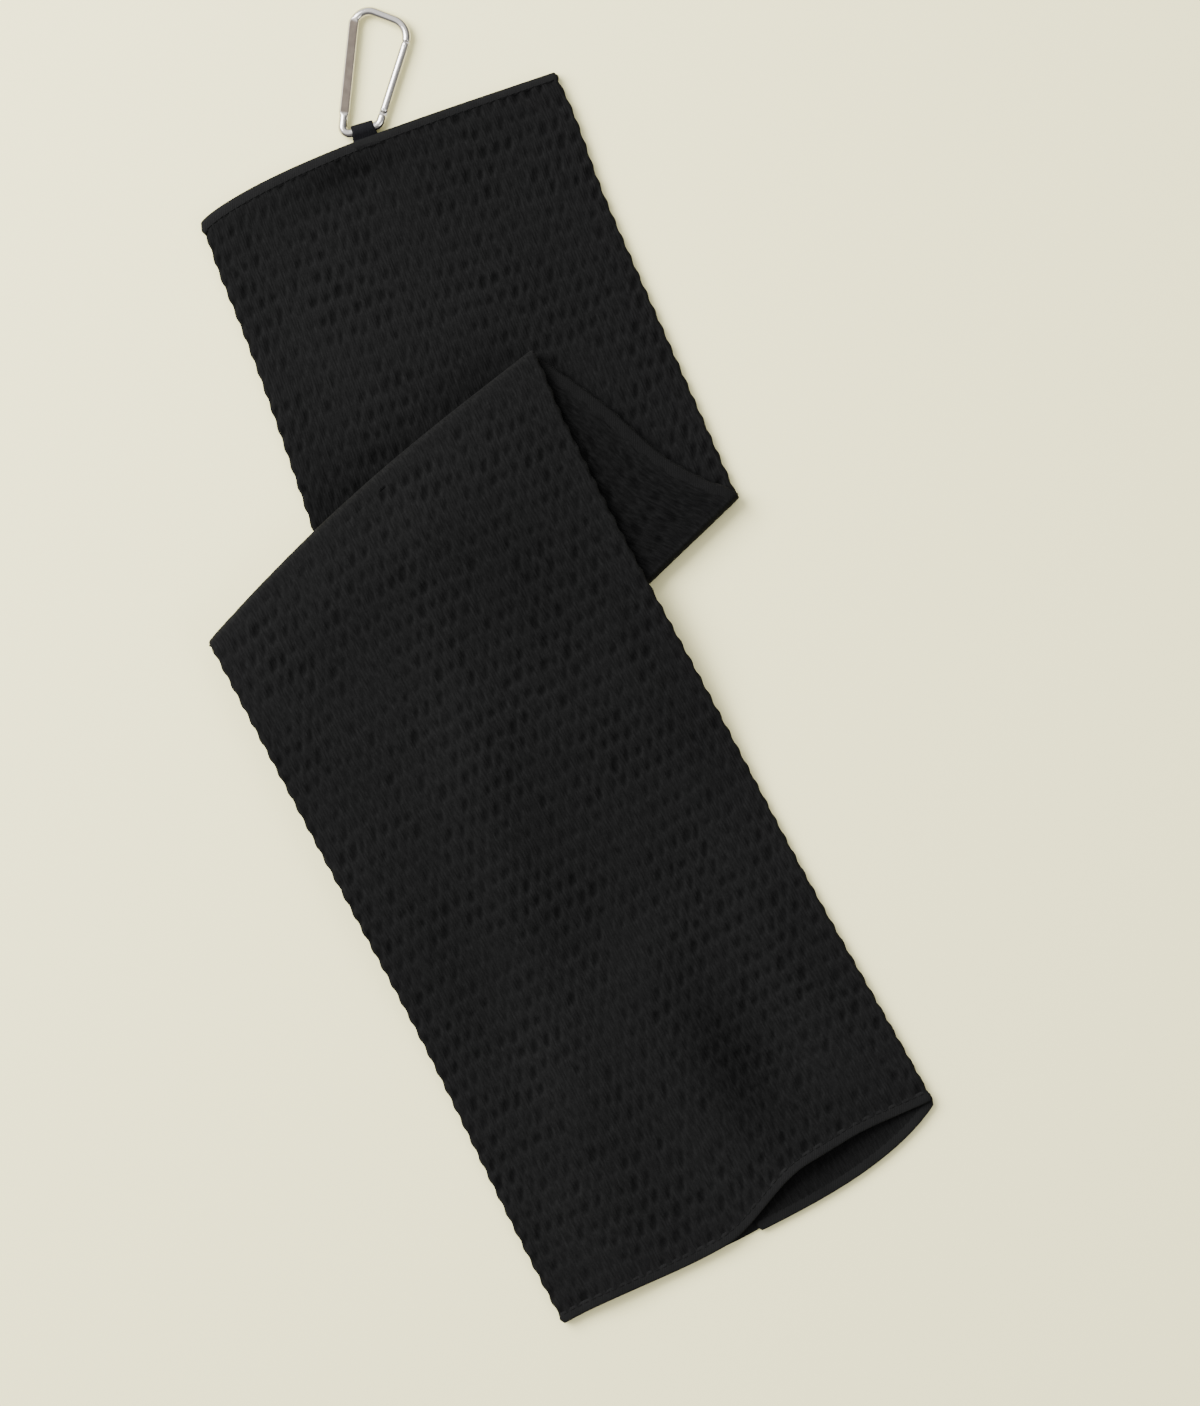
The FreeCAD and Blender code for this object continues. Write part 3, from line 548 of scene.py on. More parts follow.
def section(panel, spacing):
    """One run's section across the strip: for each column the distance from the left edge, its
    height in the stack, how far both move per unit of thickness outwards, and the cloth's own
    coordinate. Flat in the middle, with a quarter circle at each folded edge."""
    sizes = bpy.context.scene.towel_sizes
    width, layer = sizes.strip_width, sizes.layer
    left_turn, right_turn = layer, 0.5 * layer
    left_inset, right_inset = left_turn + layer / 2, right_turn + layer / 2
    quarter = np.linspace(0, math.pi / 2, 6)[:-1]
    start = width - sizes.flap_width if panel == FLAP else left_inset
    end = width - sizes.side_hem + 0.5 * MM if panel == BACK else width - right_inset
    flat = np.linspace(start, end, int(round((end - start) / spacing)) + 1)
    side = 1.0 if panel == FRONT else -1.0
    level = (panel + 0.5) * layer
    pieces = []
    if panel != FLAP:
        pieces.append((left_inset - left_turn * np.cos(quarter),
                       1.5 * layer + side * left_turn * np.sin(quarter),
                       -np.cos(quarter), side * np.sin(quarter), left_turn * quarter))
    flat_run = left_turn * math.pi / 2 + flat - left_inset
    pieces.append((flat, np.full_like(flat, level), 0 * flat, np.full_like(flat, side), flat_run))
    if panel != BACK:
        turn = quarter[::-1]
        pieces.append((width - right_inset + right_turn * np.cos(turn),
                       2 * layer + side * right_turn * np.sin(turn), np.cos(turn), side * np.sin(turn),
                       flat_run[-1] + right_turn * (math.pi / 2 - turn)))
    joined = [np.concatenate(parts) for parts in zip(*pieces)]
    if panel == BACK:
        joined[4] = -joined[4]
    elif panel == FLAP:
        joined[4] = 2 * width - joined[4]
    return joined


def cloth_length(strip, stretch, share, across, arc):
    """The cloth's own coordinate along the strip. In each leg it grows along the leg's own heading,
    so that the rows of the weave cross the leg squarely, and a fold joins what it has on either side."""
    sizes = strip.sizes
    along_middle, along_lower = heading(MIDDLE_HEADING), heading(BOTTOM_HEADING - 90)
    middle = (strip.lower_middle - strip.upper_middle) @ along_middle
    upper_line = strip.upper_crease(across) - strip.upper_middle
    lower_line = strip.lower_hinge(across) - strip.lower_middle
    at_fold = sizes.upper_length + arc[0]
    at_leg = at_fold + middle + arc[1]
    ends = [0 * across, sizes.upper_length + upper_line @ heading(UPPER_HEADING),
            at_fold + upper_line @ along_middle, at_fold + middle + lower_line @ along_middle,
            at_leg + lower_line @ along_lower / (along_lower @ heading(LOWER_HEADING)),
            at_leg + sizes.lower_length + 0 * across]
    return ends[stretch] + (ends[stretch + 1] - ends[stretch]) * share


def near_crease(strip, stretch, share):
    """1 on a crease, falling to 0 away from it, where the stretched cloth loses its hollows."""
    lengths = {UPPER_LEG: strip.sizes.upper_length, MIDDLE_LEG: strip.middle_length,
               LOWER_LEG: strip.sizes.lower_length}
    if stretch not in lengths:
        return 1.0
    ahead = (1 - share) * lengths[stretch] if stretch != LOWER_LEG else 1.0
    behind = share * lengths[stretch] if stretch != UPPER_LEG else 1.0
    return hump(np.minimum(ahead, behind), 0, 4.5 * MM)


def cloth_piece(strip, name, panel, parts, coarse):
    """One run of the cloth along some stretches, as a closed sheet with the weave's relief on its
    outer face: thickness outwards = half a layer - depth x hollow. The folded edges are scalloped."""
    layer, width = strip.sizes.layer, strip.sizes.strip_width
    weave = bpy.context.scene.towel_weave
    across_m, height, out_across, out_height, run = section(panel, weave.spacing_across * coarse)
    radii = [strip.fold_height[UPPER_FOLD] - layers * layer for layers in (panel + 0.5, 2.5 - panel)]
    arcs = [math.pi * math.sqrt((radius ** 2 + strip.reach(radius) ** 2) / 2) for radius in radii]
    inside = 0.05 * MM - layer / 2
    grids = []
    for stretch, shares in stations(parts, weave.spacing_along * coarse):
        share, across_here = np.broadcast_arrays(shares, across_m)
        length = cloth_length(strip, stretch, share, across_here / width, arcs)
        depth = pits(run, length) * (1 - 0.75 * near_crease(strip, stretch, share))
        scallop = 0.5 - 0.5 * np.cos(2 * math.pi * length / weave.along)
        depth = depth + (0.75 * scallop - depth) * np.abs(out_across) ** 2
        faces = [strip.place(stretch, share, (across_here + out_across * thickness) / width,
                             height + out_height * thickness, panel)
                 for thickness in (layer / 2 - weave.pit_depth * depth, inside + 0 * depth)]
        uv = np.stack(np.broadcast_arrays(run, length), axis=-1)
        # painted light and shade for the cloth's colour
        painted_shading = strip.painted_shading(stretch, share, across_here / width, panel, faces[0] * [1, 1, 0])
        grids.append((*faces, uv, depth, painted_shading))
    outer, inner, uv, pit_shade, painted_shading = [np.concatenate(rows) for rows in zip(*grids)]
    return sheet_piece(name, outer, inner, finish("microfibre_waffle"), uv, pit_shade, painted_shading)


def hem_tube(strip, name, stretch, lengthwise, panel, heights, across_range):
    """A turned hem across the strip: a rounded box section between two distances along the strip,
    slightly puckered and closed to a dome at its ends."""
    width = strip.sizes.strip_width
    first, last = across_range
    across = first + (last - first) * np.linspace(0, 1, int(round((last - first) * width / MM)) + 1)
    along, upward = rounded_box(24)
    from_end = np.minimum(across - first, last - across) * width / (1.2 * MM)
    dome = np.sqrt(np.clip(1 - (1 - from_end).clip(0, 1) ** 2, 0.02, 1))
    pucker = 1 + 0.035 * np.sin(across * width / (0.45 * MM))
    start, end = lengthwise
    low, high = heights
    shares = (start + end) / 2 + (end - start) / 2 * along[None, :] * dome[:, None]
    levels = (low + high) / 2 + (high - low) / 2 * upward[None, :] * (dome * pucker)[:, None]
    full = np.broadcast_to(across[:, None], shares.shape)
    uv = np.stack([full * width, shares * strip.sizes.upper_length], axis=-1)
    return tube_piece(name, strip.place(stretch, shares, full, levels, panel), finish("plain_hem"), uv)


def side_hem_tube(strip, name, parts):
    """The hem on the back run's free edge, a rounded box section carried along the strip."""
    sizes = strip.sizes
    along, upward = rounded_box(16)
    sideways = sizes.strip_width - 0.7 * MM - sizes.side_hem / 2 + sizes.side_hem / 2 * along
    rings, uv = [], []
    for stretch, shares in stations(parts, 1.5 * MM):
        share, here = np.broadcast_arrays(shares, sideways)
        pucker = 0.46 + 0.02 * np.sin(share * 800)
        height = sizes.layer * (0.5 + pucker * upward)
        rings.append(strip.place(stretch, share, here / sizes.strip_width, height, BACK))
        uv.append(np.stack([here, share * sizes.lower_length], axis=-1))
    rings = np.concatenate(rings)
    for end in (0, -1):
        rings[end] = rings[end].mean(0) + 0.8 * (rings[end] - rings[end].mean(0))
    return tube_piece(name, rings, finish("side_hem"), np.concatenate(uv))


def stitch_row(name, middles, ways, ups, length, width):
    """Stitches lying end to end: each is a low bead, an ellipsoid round its middle, along its way."""
    turn = np.linspace(0, 2 * math.pi, 7)[:-1]
    ring = np.linspace(-0.5, 0.5, 5)
    swell = np.sqrt(1 - (2 * ring * 0.96) ** 2)
    sides = np.cross(ups, ways)
    points = (middles[:, None, None] + length * ring[None, :, None, None] * ways[:, None, None]
              + width / 2 * (swell[:, None] * np.cos(turn))[None, ..., None] * sides[:, None, None]
              + width / 2 * (swell[:, None] * np.sin(turn))[None, ..., None] * ups[:, None, None])
    body = grid_faces(len(ring), len(turn), around=True)
    count = len(ring) * len(turn)
    ends = np.stack([np.arange(len(turn))[::-1], count - len(turn) + np.arange(len(turn))])
    shifts = count * np.arange(len(middles))[:, None, None]
    faces = [face for bead in zip((body + shifts).tolist(), (ends + shifts).tolist())
             for part in bead for face in part]
    return new_piece(name, points, faces, finish("polyester_thread"))


# ---------------------------------------------------------------- the loop and the clip

def resampled(points, spacing):
    """The same path with its points evenly spaced, and its unit tangents."""
    steps = np.linalg.norm(np.diff(points, axis=0), axis=1)
    travelled = np.concatenate([[0], np.cumsum(steps)])
    places = np.linspace(0, travelled[-1], int(round(travelled[-1] / spacing)) + 1)
    path = np.stack([np.interp(places, travelled, line) for line in points.T], axis=1)
    tangent = np.gradient(path, axis=0)
    return path, tangent / np.linalg.norm(tangent, axis=1)[:, None]


def rounded_path(corners, radii, spacing):
    """A path in the plane through corners, the inner ones rounded to their radii."""
    corners = np.array(corners)
    parts = [corners[:1]]
    share = np.linspace(0, 1, 25)[:, None]
    for before, corner, after, radius in zip(corners, corners[1:], corners[2:], radii):
        back = (before - corner) / np.linalg.norm(before - corner)
        on = (after - corner) / np.linalg.norm(after - corner)
        half = math.acos(back @ on) / 2
        centre = corner + (back + on) / np.linalg.norm(back + on) * radius / math.sin(half)
        first = (corner + back * radius / math.tan(half) - centre) / radius
        last = (corner + on * radius / math.tan(half) - centre) / radius
        turn = math.pi - 2 * half
        arc = (first * np.sin((1 - share) * turn) + last * np.sin(share * turn)) / math.sin(turn)
        parts.append(centre + radius * arc)
    return resampled(np.concatenate([*parts, corners[-1:]]), spacing)


def prism(outline, thickness):
    """A flat plate of a thickness from its outline: its points, and its faces outwards."""
    count = len(outline)
    if np.cross(outline, np.roll(outline, -1, axis=0)).sum() < 0:
        outline = outline[::-1]
    low = np.column_stack([outline, np.full(count, -thickness / 2)])
    first = np.arange(count)
    following = np.roll(first, -1)
    sides = np.stack([first, following, following + count, first + count], axis=1).tolist()
    return np.concatenate([low, low + thickness * UP]), [list(first[::-1]), list(first + count), *sides]


class Clip:
    """The clip's own frame, which stands on the joints that the loop and the gate turn on."""

    def __init__(self):
        self.sizes = bpy.context.scene.towel_clip
        self.bar, _ = hinge("clip_swing")
        rivet, _ = hinge("gate_hinge")
        turn, lean = self.sizes.turn, self.sizes.gate_lean
        self.along_x = np.array([math.cos(turn), math.sin(turn), 0])
        self.along_y = np.array([-math.sin(turn), math.cos(turn), 0])
        self.rivet = np.array([(rivet - self.bar) @ self.along_x, (rivet - self.bar) @ self.along_y, 0])
        self.across_gate = np.array([math.cos(lean), -math.sin(lean), 0])
        self.along_gate = np.array([math.sin(lean), math.cos(lean), 0])

    def placed(self, points):
        """Points of the clip's frame in the row's frame."""
        return (self.bar + points[..., :1] * self.along_x + points[..., 1:2] * self.along_y
                + points[..., 2:] * UP)

    def by_gate(self, across, along):
        """A point by its distances across the gate, outwards, and along it from the rivet."""
        return (self.rivet + across * self.across_gate + along * self.along_gate)[:2]

    def corners(self):
        """The wire's corners, from its nose round to its end at the rivet."""
        sizes = self.sizes
        lean, slope = math.tan(sizes.gate_lean), math.tan(sizes.bar_slope)
        across, height = self.rivet[:2]
        nose = across + (sizes.nose_height - height) * lean
        shoulder = sizes.bow_height - (nose + sizes.spine_offset) * math.tan(sizes.bow_slope)
        heel = slope * (across - height * lean) / (1 - slope * lean)
        return [(nose, sizes.nose_height), (nose, shoulder), (-sizes.spine_offset, sizes.bow_height),
                (-sizes.spine_offset, -sizes.spine_offset * slope), (heel / slope, heel),
                tuple(self.by_gate(0, -sizes.leg_stand_off))]


# ---------------------------------------------------------------- materials

def add_node(tree, kind, settings=(), links=()):
    """Add a node, give it its settings (properties, and values of inputs by name or number), and
    link its inputs to other nodes' outputs."""
    node = tree.nodes.new("ShaderNode" + kind)
    for key, value in dict(settings).items():
        if isinstance(key, str) and hasattr(node, key):
            setattr(node, key, value)
        else:
            node.inputs[key].default_value = value
    for socket, source in dict(links).items():
        tree.links.new(source, node.inputs[socket])
    return node


def new_material(name, **values):
    """An empty material, its node tree and its surface shader, with values of the shader's inputs."""
    material = bpy.data.materials.new(name)
    material.use_nodes = True
    tree = material.node_tree
    shader = tree.nodes["Principled BSDF"]
    for socket, value in values.items():
        shader.inputs[socket.replace("_", " ")].default_value = value
    return material, tree, shader


def shade(colour, share):
    """A colour made darker or lighter by a share, with its alpha."""
    return (*[min(part * share, 1.0) for part in colour], 1.0)


def cloth_grain(tree, shader, space, base, fibre, yarn, depth):
    """Fibre fuzz, pulled yarns and yarn ribs of a soft matt cloth: the tone varies by a few percent
    with the fuzz, and both raise the surface a little."""
    fuzz = add_node(tree, "TexNoise", {"Scale": 1 / fibre, "Detail": 4.0, "Roughness": 0.7},
                    {"Vector": space})
    slow = add_node(tree, "TexNoise", {"Scale": 1 / (45 * MM), "Detail": 2.0}, {"Vector": space})
    ribs = add_node(tree, "TexWave", {"Scale": 1 / (yarn * 2 * math.pi), "Distortion": 3.0, "Detail": 2.0,
                                      "Detail Scale": 1.5}, {"Vector": space})
    tone = add_node(tree, "Math", {"operation": "MULTIPLY_ADD", 1: 0.9, 2: 0.4}, {0: fuzz.outputs["Fac"]})
    tone = add_node(tree, "Math", {"operation": "MULTIPLY_ADD", 1: 0.3},
                    {0: slow.outputs["Fac"], 2: tone.outputs[0]})
    toned = add_node(tree, "VectorMath", {"operation": "SCALE"}, {0: base, "Scale": tone.outputs[0]})
    raised = add_node(tree, "Math", {"operation": "ADD"}, {0: fuzz.outputs["Fac"], 1: ribs.outputs["Fac"]})
    bump = add_node(tree, "Bump", {"Strength": 0.8, "Distance": depth}, {"Height": raised.outputs[0]})
    tree.links.new(toned.outputs[0], shader.inputs["Base Color"])
    tree.links.new(bump.outputs["Normal"], shader.inputs["Normal"])


def microfibre_waffle(name, ridge, pit_shade):
    """Microfibre waffle weave: split polyester fibres, brushed, so it is matt with a faint bloom. The
    hollows are coloured darker, a painted shade, their rims a little lighter, a painted highlight, and a mark
    adds painted light and shade."""
    material, tree, shader = new_material(name, Roughness=0.95, Specular_IOR_Level=0.03, Sheen_Weight=0.01,
                                          Sheen_Roughness=0.5)
    cloth = add_node(tree, "UVMap", {"uv_map": "cloth"})
    hollow = add_node(tree, "Attribute", {"attribute_name": "pit_shade"})
    # the painted light and shade mark
    painted_shading = add_node(tree, "Attribute", {"attribute_name": "painted_shading"})
    # painted shade darkening toward the hollows, and at 0.12 a painted highlight, a little lighter, on their
    # rims
    weave = add_node(tree, "ValToRGB", {}, {"Fac": hollow.outputs["Fac"]})
    stops = weave.color_ramp.elements
    stops[0].color, stops[1].color = shade(ridge, 1), shade(pit_shade, 1)
    stops[1].position = 0.85
    stops.new(0.12).color = shade(ridge, 1.1)
    pulled = add_node(tree, "Mapping", {"Rotation": (0, 0, -0.4), "Scale": (1 / (0.9 * MM), 1 / (4 * MM), 1)},
                      {"Vector": cloth.outputs["UV"]})
    streak = add_node(tree, "TexNoise", {"Scale": 1.0, "Detail": 3.0}, {"Vector": pulled.outputs["Vector"]})
    tone = add_node(tree, "Math", {"operation": "MULTIPLY_ADD", 1: 1.6, 2: -0.8},
                    {0: streak.outputs["Fac"]})
    # the colour is made lighter or darker by the painted light and shade
    tone = add_node(tree, "Math", {"operation": "MULTIPLY_ADD", 1: 2.0},
                    {0: painted_shading.outputs["Fac"], 2: tone.outputs[0]})
    base = add_node(tree, "VectorMath", {"operation": "SCALE"},
                    {0: weave.outputs["Color"], "Scale": tone.outputs[0]})
    cloth_grain(tree, shader, cloth.outputs["UV"], base.outputs[0], 0.9 * MM, 0.55 * MM, 0.12 * MM)
    return material


def plain_cloth(name, tint, fibre, yarn, depth):
    """Plain woven polyester, as in a turned hem, a webbing or a sewing thread: smooth, fine ribs."""
    material, tree, shader = new_material(name, Roughness=0.95, Specular_IOR_Level=0.03, Sheen_Weight=0.01,
                                          Sheen_Roughness=0.4)
    space = add_node(tree, "TexCoord").outputs["Object"]
    cloud = add_node(tree, "TexNoise", {"Scale": 1 / (6 * MM), "Detail": 2.0}, {"Vector": space})
    base = add_node(tree, "Mix", {"data_type": "RGBA", 6: shade(tint, 0.8), 7: shade(tint, 1.2)},
                    {0: cloud.outputs["Fac"]})
    cloth_grain(tree, shader, space, base.outputs[2], fibre, yarn, depth)
    return material


def metal(name, tint, rough, scratch, grain, depth, satin_dark_reflection=None):
    """Bare metal: a mirror-like tumbled or drawn surface, with fine marks that spread its gloss. Where
    it was pressed flat it is satin, rough enough to lose its reflections, and coloured darker: a painted dark
    reflection."""
    material, tree, shader = new_material(name, Metallic=1.0)
    space = add_node(tree, "TexCoord").outputs["Object"]
    marks = add_node(tree, "TexNoise", {"Scale": 1 / grain, "Detail": 5.0, "Roughness": 0.65},
                     {"Vector": space})
    gloss = add_node(tree, "MapRange", {"To Min": rough, "To Max": rough + scratch},
                     {"Value": marks.outputs["Fac"]})
    bright = add_node(tree, "Mix", {"data_type": "RGBA", 6: shade(tint, 0.82), 7: shade(tint, 1)},
                      {0: marks.outputs["Fac"]})
    rough_output, colour_output = gloss.outputs["Result"], bright.outputs[2]
    if satin_dark_reflection:
        # where pressed: rougher, and a darker colour that is a painted dark reflection
        pressed = add_node(tree, "Attribute", {"attribute_name": "pressed"}).outputs["Fac"]
        dull = add_node(tree, "Math", {"operation": "MULTIPLY_ADD", 1: 0.42}, {0: pressed, 2: rough_output})
        cloud = add_node(tree, "TexNoise", {"Scale": 1 / (2.5 * MM), "Detail": 4.0}, {"Vector": space})
        # painted dark reflection: the pressed flat is coloured darker, with random clouds
        flat = add_node(tree, "Mix", {"data_type": "RGBA", 6: shade(satin_dark_reflection, 1), 7: shade(satin_dark_reflection, 2.3)},
                        {0: cloud.outputs["Fac"]})
        both = add_node(tree, "Mix", {"data_type": "RGBA"},
                        {0: pressed, 6: colour_output, 7: flat.outputs[2]})
        rough_output, colour_output = dull.outputs[0], both.outputs[2]
    bump = add_node(tree, "Bump", {"Strength": 0.5, "Distance": depth}, {"Height": marks.outputs["Fac"]})
    tree.links.new(rough_output, shader.inputs["Roughness"])
    tree.links.new(colour_output, shader.inputs["Base Color"])
    tree.links.new(bump.outputs["Normal"], shader.inputs["Normal"])
    return material


def matt_board(name, tint):
    """A smooth board in matt paint: one even colour, with hardly any gloss."""
    return new_material(name, Base_Color=shade(tint, 1), Roughness=0.9, Specular_IOR_Level=0.1)[0]


def finish(name):
    """The material of a name, made the first time it is asked for. A plain cloth has its colour, the
    width of its fibres and of its yarns, and its relief. A metal has its colour, its roughness and how
    much its marks add to it, the marks' width and depth, and the colour where it was pressed, darker for a
    painted dark reflection."""
    colours = bpy.context.scene.towel_colours
    makers = {
        "microfibre_waffle": (microfibre_waffle, colours.ridge, colours.pit_shade),
        # turned hems of the same yarn without the waffle: flat, so they look smoother and lighter
        "plain_hem": (plain_cloth, colours.hem, 0.5 * MM, 0.35 * MM, 0.08 * MM),
        "side_hem": (plain_cloth, colours.side_hem, 0.5 * MM, 0.35 * MM, 0.08 * MM),
        # spun polyester thread: fine plies, as matt as the cloth
        "polyester_thread": (plain_cloth, colours.thread, 0.3 * MM, 0.12 * MM, 0.04 * MM),
        # woven polyester webbing: close ribs, a little bluer than the cloth
        "woven_webbing": (plain_cloth, colours.webbing, 0.4 * MM, 0.3 * MM, 0.08 * MM),
        # tumbled aluminium wire: bright, with reflections that its fine dents soften; its pressed flat takes
        # a darker colour, a painted dark reflection
        "tumbled_aluminium": (metal, colours.aluminium, 0.12, 0.14, 0.8 * MM, 0.01 * MM, colours.spine),
        # nickelled steel pins: a little darker and duller
        "nickelled_steel": (metal, colours.steel, 0.18, 0.15, 0.5 * MM, 0.01 * MM),
        "matt_board": (matt_board, colours.floor),
    }
    maker, *values = makers[name]
    return bpy.data.materials.get(name) or maker(name, *values)


# ---------------------------------------------------------------- operators

# the nodes that each piece of a run stands for, by their legs
STANDS_FOR = {"upper": ("upper", "middle"), "crease": (), "lower": ("lower",)}


def attach(piece, body, node):
    """Let a piece ride on a body, and hide the node that it replaces."""
    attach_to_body(piece, body)
    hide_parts(node)


def attach_run(piece, word, node):
    """Bake a piece of a run in place, unless it lies in the lower leg, which it then rides on, and hide the
    nodes that it replaces.
    """
    if word == "upper":
        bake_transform(piece)
    elif word == "crease":
        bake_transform(piece)
    else:
        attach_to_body(piece, "lower_leg")
    if STANDS_FOR[word]:
        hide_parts(*[f"{leg}_{node}" for leg in STANDS_FOR[word]])


class TOWEL_OT_cloth(bpy.types.Operator):
    """Build the three runs of waffle cloth in the three legs and over the two creases."""
    bl_idname = "towel.cloth"
    bl_label = "Waffle cloth"

    tuck = 1.2 * MM
    mean_arc = 8 * MM

    def execute(self, context):
        strip = Strip()
        sizes = strip.sizes
        # each run's name, how coarse its mesh is in each piece, its width and its nodes' name
        runs = {FRONT: ("front", (1, 1, 1), sizes.strip_width, "front_panel"),
                FLAP: ("inner", (2, 2, 2), sizes.flap_width, "inner_flap"),
                BACK: ("back", (1, 1.35, 1.35), sizes.strip_width, "back_panel")}
        for panel, (run, coarseness, width, node) in runs.items():
            for (word, parts), coarse in zip(strip.stretches(self.tuck).items(), coarseness):
                piece = cloth_piece(strip, f"cloth_{word}_{run}", panel, parts, coarse)
                attach_run(piece, word, node)
        return {"FINISHED"}


class TOWEL_OT_hems(bpy.types.Operator):
    """Build the top hem, the bottom hems, the side hem and the rows of stitches."""
    bl_idname = "towel.hems"
    bl_label = "Hems and stitches"

    # how far the top hem stands above the cloth, how far it stands out at each end of the strip's
    # width, and how deep in a hem its row of stitches lies
    proud, stand_out, stitch_depth = 0.1 * MM, 0.004, 0.78

    def execute(self, context):
        strip = Strip()
        sizes = strip.sizes
        top = 3 * sizes.layer
        hem = sizes.hem_depth / sizes.upper_length
        foot = sizes.hem_depth / sizes.lower_length
        piece = hem_tube(strip, "hem_top", UPPER_LEG, (0, hem), BACK, (0, top + self.proud),
                         (-self.stand_out, 1 + self.stand_out))
        attach(piece, "upper_leg", "top_hem")
        half = 1 - sizes.flap_width / sizes.strip_width
        for panel, word, left in ((FRONT, "front", 0.0), (FLAP, "inner", half), (BACK, "back", 0.0)):
            heights = (panel * sizes.layer, (panel + 1) * sizes.layer)
            piece = hem_tube(strip, f"hem_bottom_{word}", LOWER_LEG, (1 - foot, 1), panel, heights,
                             (left, 1.0))
            attach(piece, "lower_leg", f"bottom_hem_{word}")
        for word, parts in strip.stretches(0).items():
            piece = side_hem_tube(strip, f"hem_side_{word}", parts)
            attach_run(piece, word, "side_hem")
        stitches = self.stitch(strip, "stitches_top", UPPER_LEG, hem * self.stitch_depth, BACK,
                               top + self.proud)
        attach(stitches, "upper_leg", "top_hem_thread")
        stitches = self.stitch(strip, "stitches_bottom", LOWER_LEG, 1 - foot * self.stitch_depth, FRONT, top)
        attach(stitches, "lower_leg", "bottom_hem_thread")
        return {"FINISHED"}

    def stitch(self, strip, name, stretch, share, panel, height):
        """A row of stitches 2.2 mm long with 0.6 mm between them, along a hem."""
        pitch, length, width = 2.8 * MM, 2.2 * MM, 0.45 * MM
        count = int((strip.sizes.strip_width - 6 * MM) / pitch)
        across = np.linspace(0.02, 0.98, count)
        shares, heights = np.full(count, share), np.full(count, height)
        middles = strip.place(stretch, shares, across, heights, panel)
        ways = strip.place(stretch, shares, across + 0.004, heights, panel) - middles
        ways /= np.linalg.norm(ways, axis=1)[:, None]
        sides = np.cross(UP, ways)
        sides /= np.linalg.norm(sides, axis=1)[:, None]
        return stitch_row(name, middles, ways, np.cross(ways, sides), length, width)


class TOWEL_OT_loop(bpy.types.Operator):
    """Build the webbing loop with its tail, and the bartack that holds it in the hem."""
    bl_idname = "towel.loop"
    bl_label = "Webbing loop"

    spacing = 0.2 * MM
    blend_margin = 0.3 * MM
    declared_width = 10.1 * MM

    def execute(self, context):
        sizes = context.scene.towel_loop
        bar, _ = hinge("clip_swing")
        root = hinge("loop_flex")[0] * [1, 1, 0] + bar * [0, 0, 1]
        reach = np.linalg.norm(bar - root)
        out = (bar - root) / reach
        across = np.cross(UP, out)
        path, normal = self.path(sizes, reach)
        wide = sizes.width + (sizes.tail_width - sizes.width) * (1 - ramp(path[:, 0], 0, reach))
        place = np.linspace(-0.5, 0.5, 45)
        thin = np.sqrt(1 - (2 * np.abs(place)) ** 14).clip(0.35)
        run = wide[:, None] * place
        rib = sizes.pucker * np.cos(2 * math.pi * run / sizes.rib)
        grids = []
        for sign in (1, -1):
            away = sign * (sizes.thickness / 2 * thin - sizes.pucker + rib * thin * (sign > 0))
            points = path[:, None] + normal[:, None] * away[..., None]
            grids.append(root + points[..., :1] * out + points[..., 1:] * UP + run[..., None] * across)
        travelled = np.arange(len(path))[:, None] * self.spacing
        uv = np.stack(np.broadcast_arrays(run, travelled), axis=-1)
        piece = sheet_piece("webbing_ribbon", *grids, finish("woven_webbing"), uv, 0 * run, 0 * run)
        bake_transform(piece)
        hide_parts("webbing_loop", "webbing_tail")
        self.bartack(sizes, root, out, across)
        return {"FINISHED"}

    def path(self, sizes, reach):
        """The webbing's middle line, seen from its side, and its normals: from the hem along the tail's
        lower layer, round the eye on the arc between its two tangents, and back along the upper one."""
        half = sizes.thickness / 2
        middle = sizes.eye + half
        apart = math.hypot(reach - sizes.neck, half)
        tangent = math.pi - math.atan2(half, reach - sizes.neck) - math.acos(middle / apart)
        turn = np.linspace(-tangent, tangent, 41)
        eye = np.column_stack([reach + middle * np.cos(turn), middle * np.sin(turn)])
        start = np.array([(-sizes.tail, -half), (sizes.neck * 0.5, -half), (sizes.neck, -half)])
        path, way = resampled(np.concatenate([start, eye, start[::-1] * [1, -1]]), self.spacing)
        return path, np.column_stack([way[:, 1], -way[:, 0]])

    def bartack(self, sizes, root, out, across):
        """A close zigzag of thread over the hem, across the tail: stitches lean to either side."""
        count, depth, proud, length, width = 27, 2.6 * MM, 0.1 * MM, 1.9 * MM, 0.4 * MM
        place = np.linspace(-0.46, 0.46, count) * sizes.tail_width
        middles = root * [1, 1, 0] - depth * out + place[:, None] * across
        middles[:, 2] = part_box("top_hem")[1][2] + proud
        lean = np.where(np.arange(count) % 2 == 0, 1.0, -1.0)[:, None]
        ways = 0.98 * out + 0.2 * lean * across
        ways /= np.linalg.norm(ways, axis=1)[:, None]
        ups = np.broadcast_to(UP, ways.shape)
        piece = stitch_row("bartack_stitches", middles, ways, ups, length, width)
        attach(piece, "upper_leg", "loop_bartack")


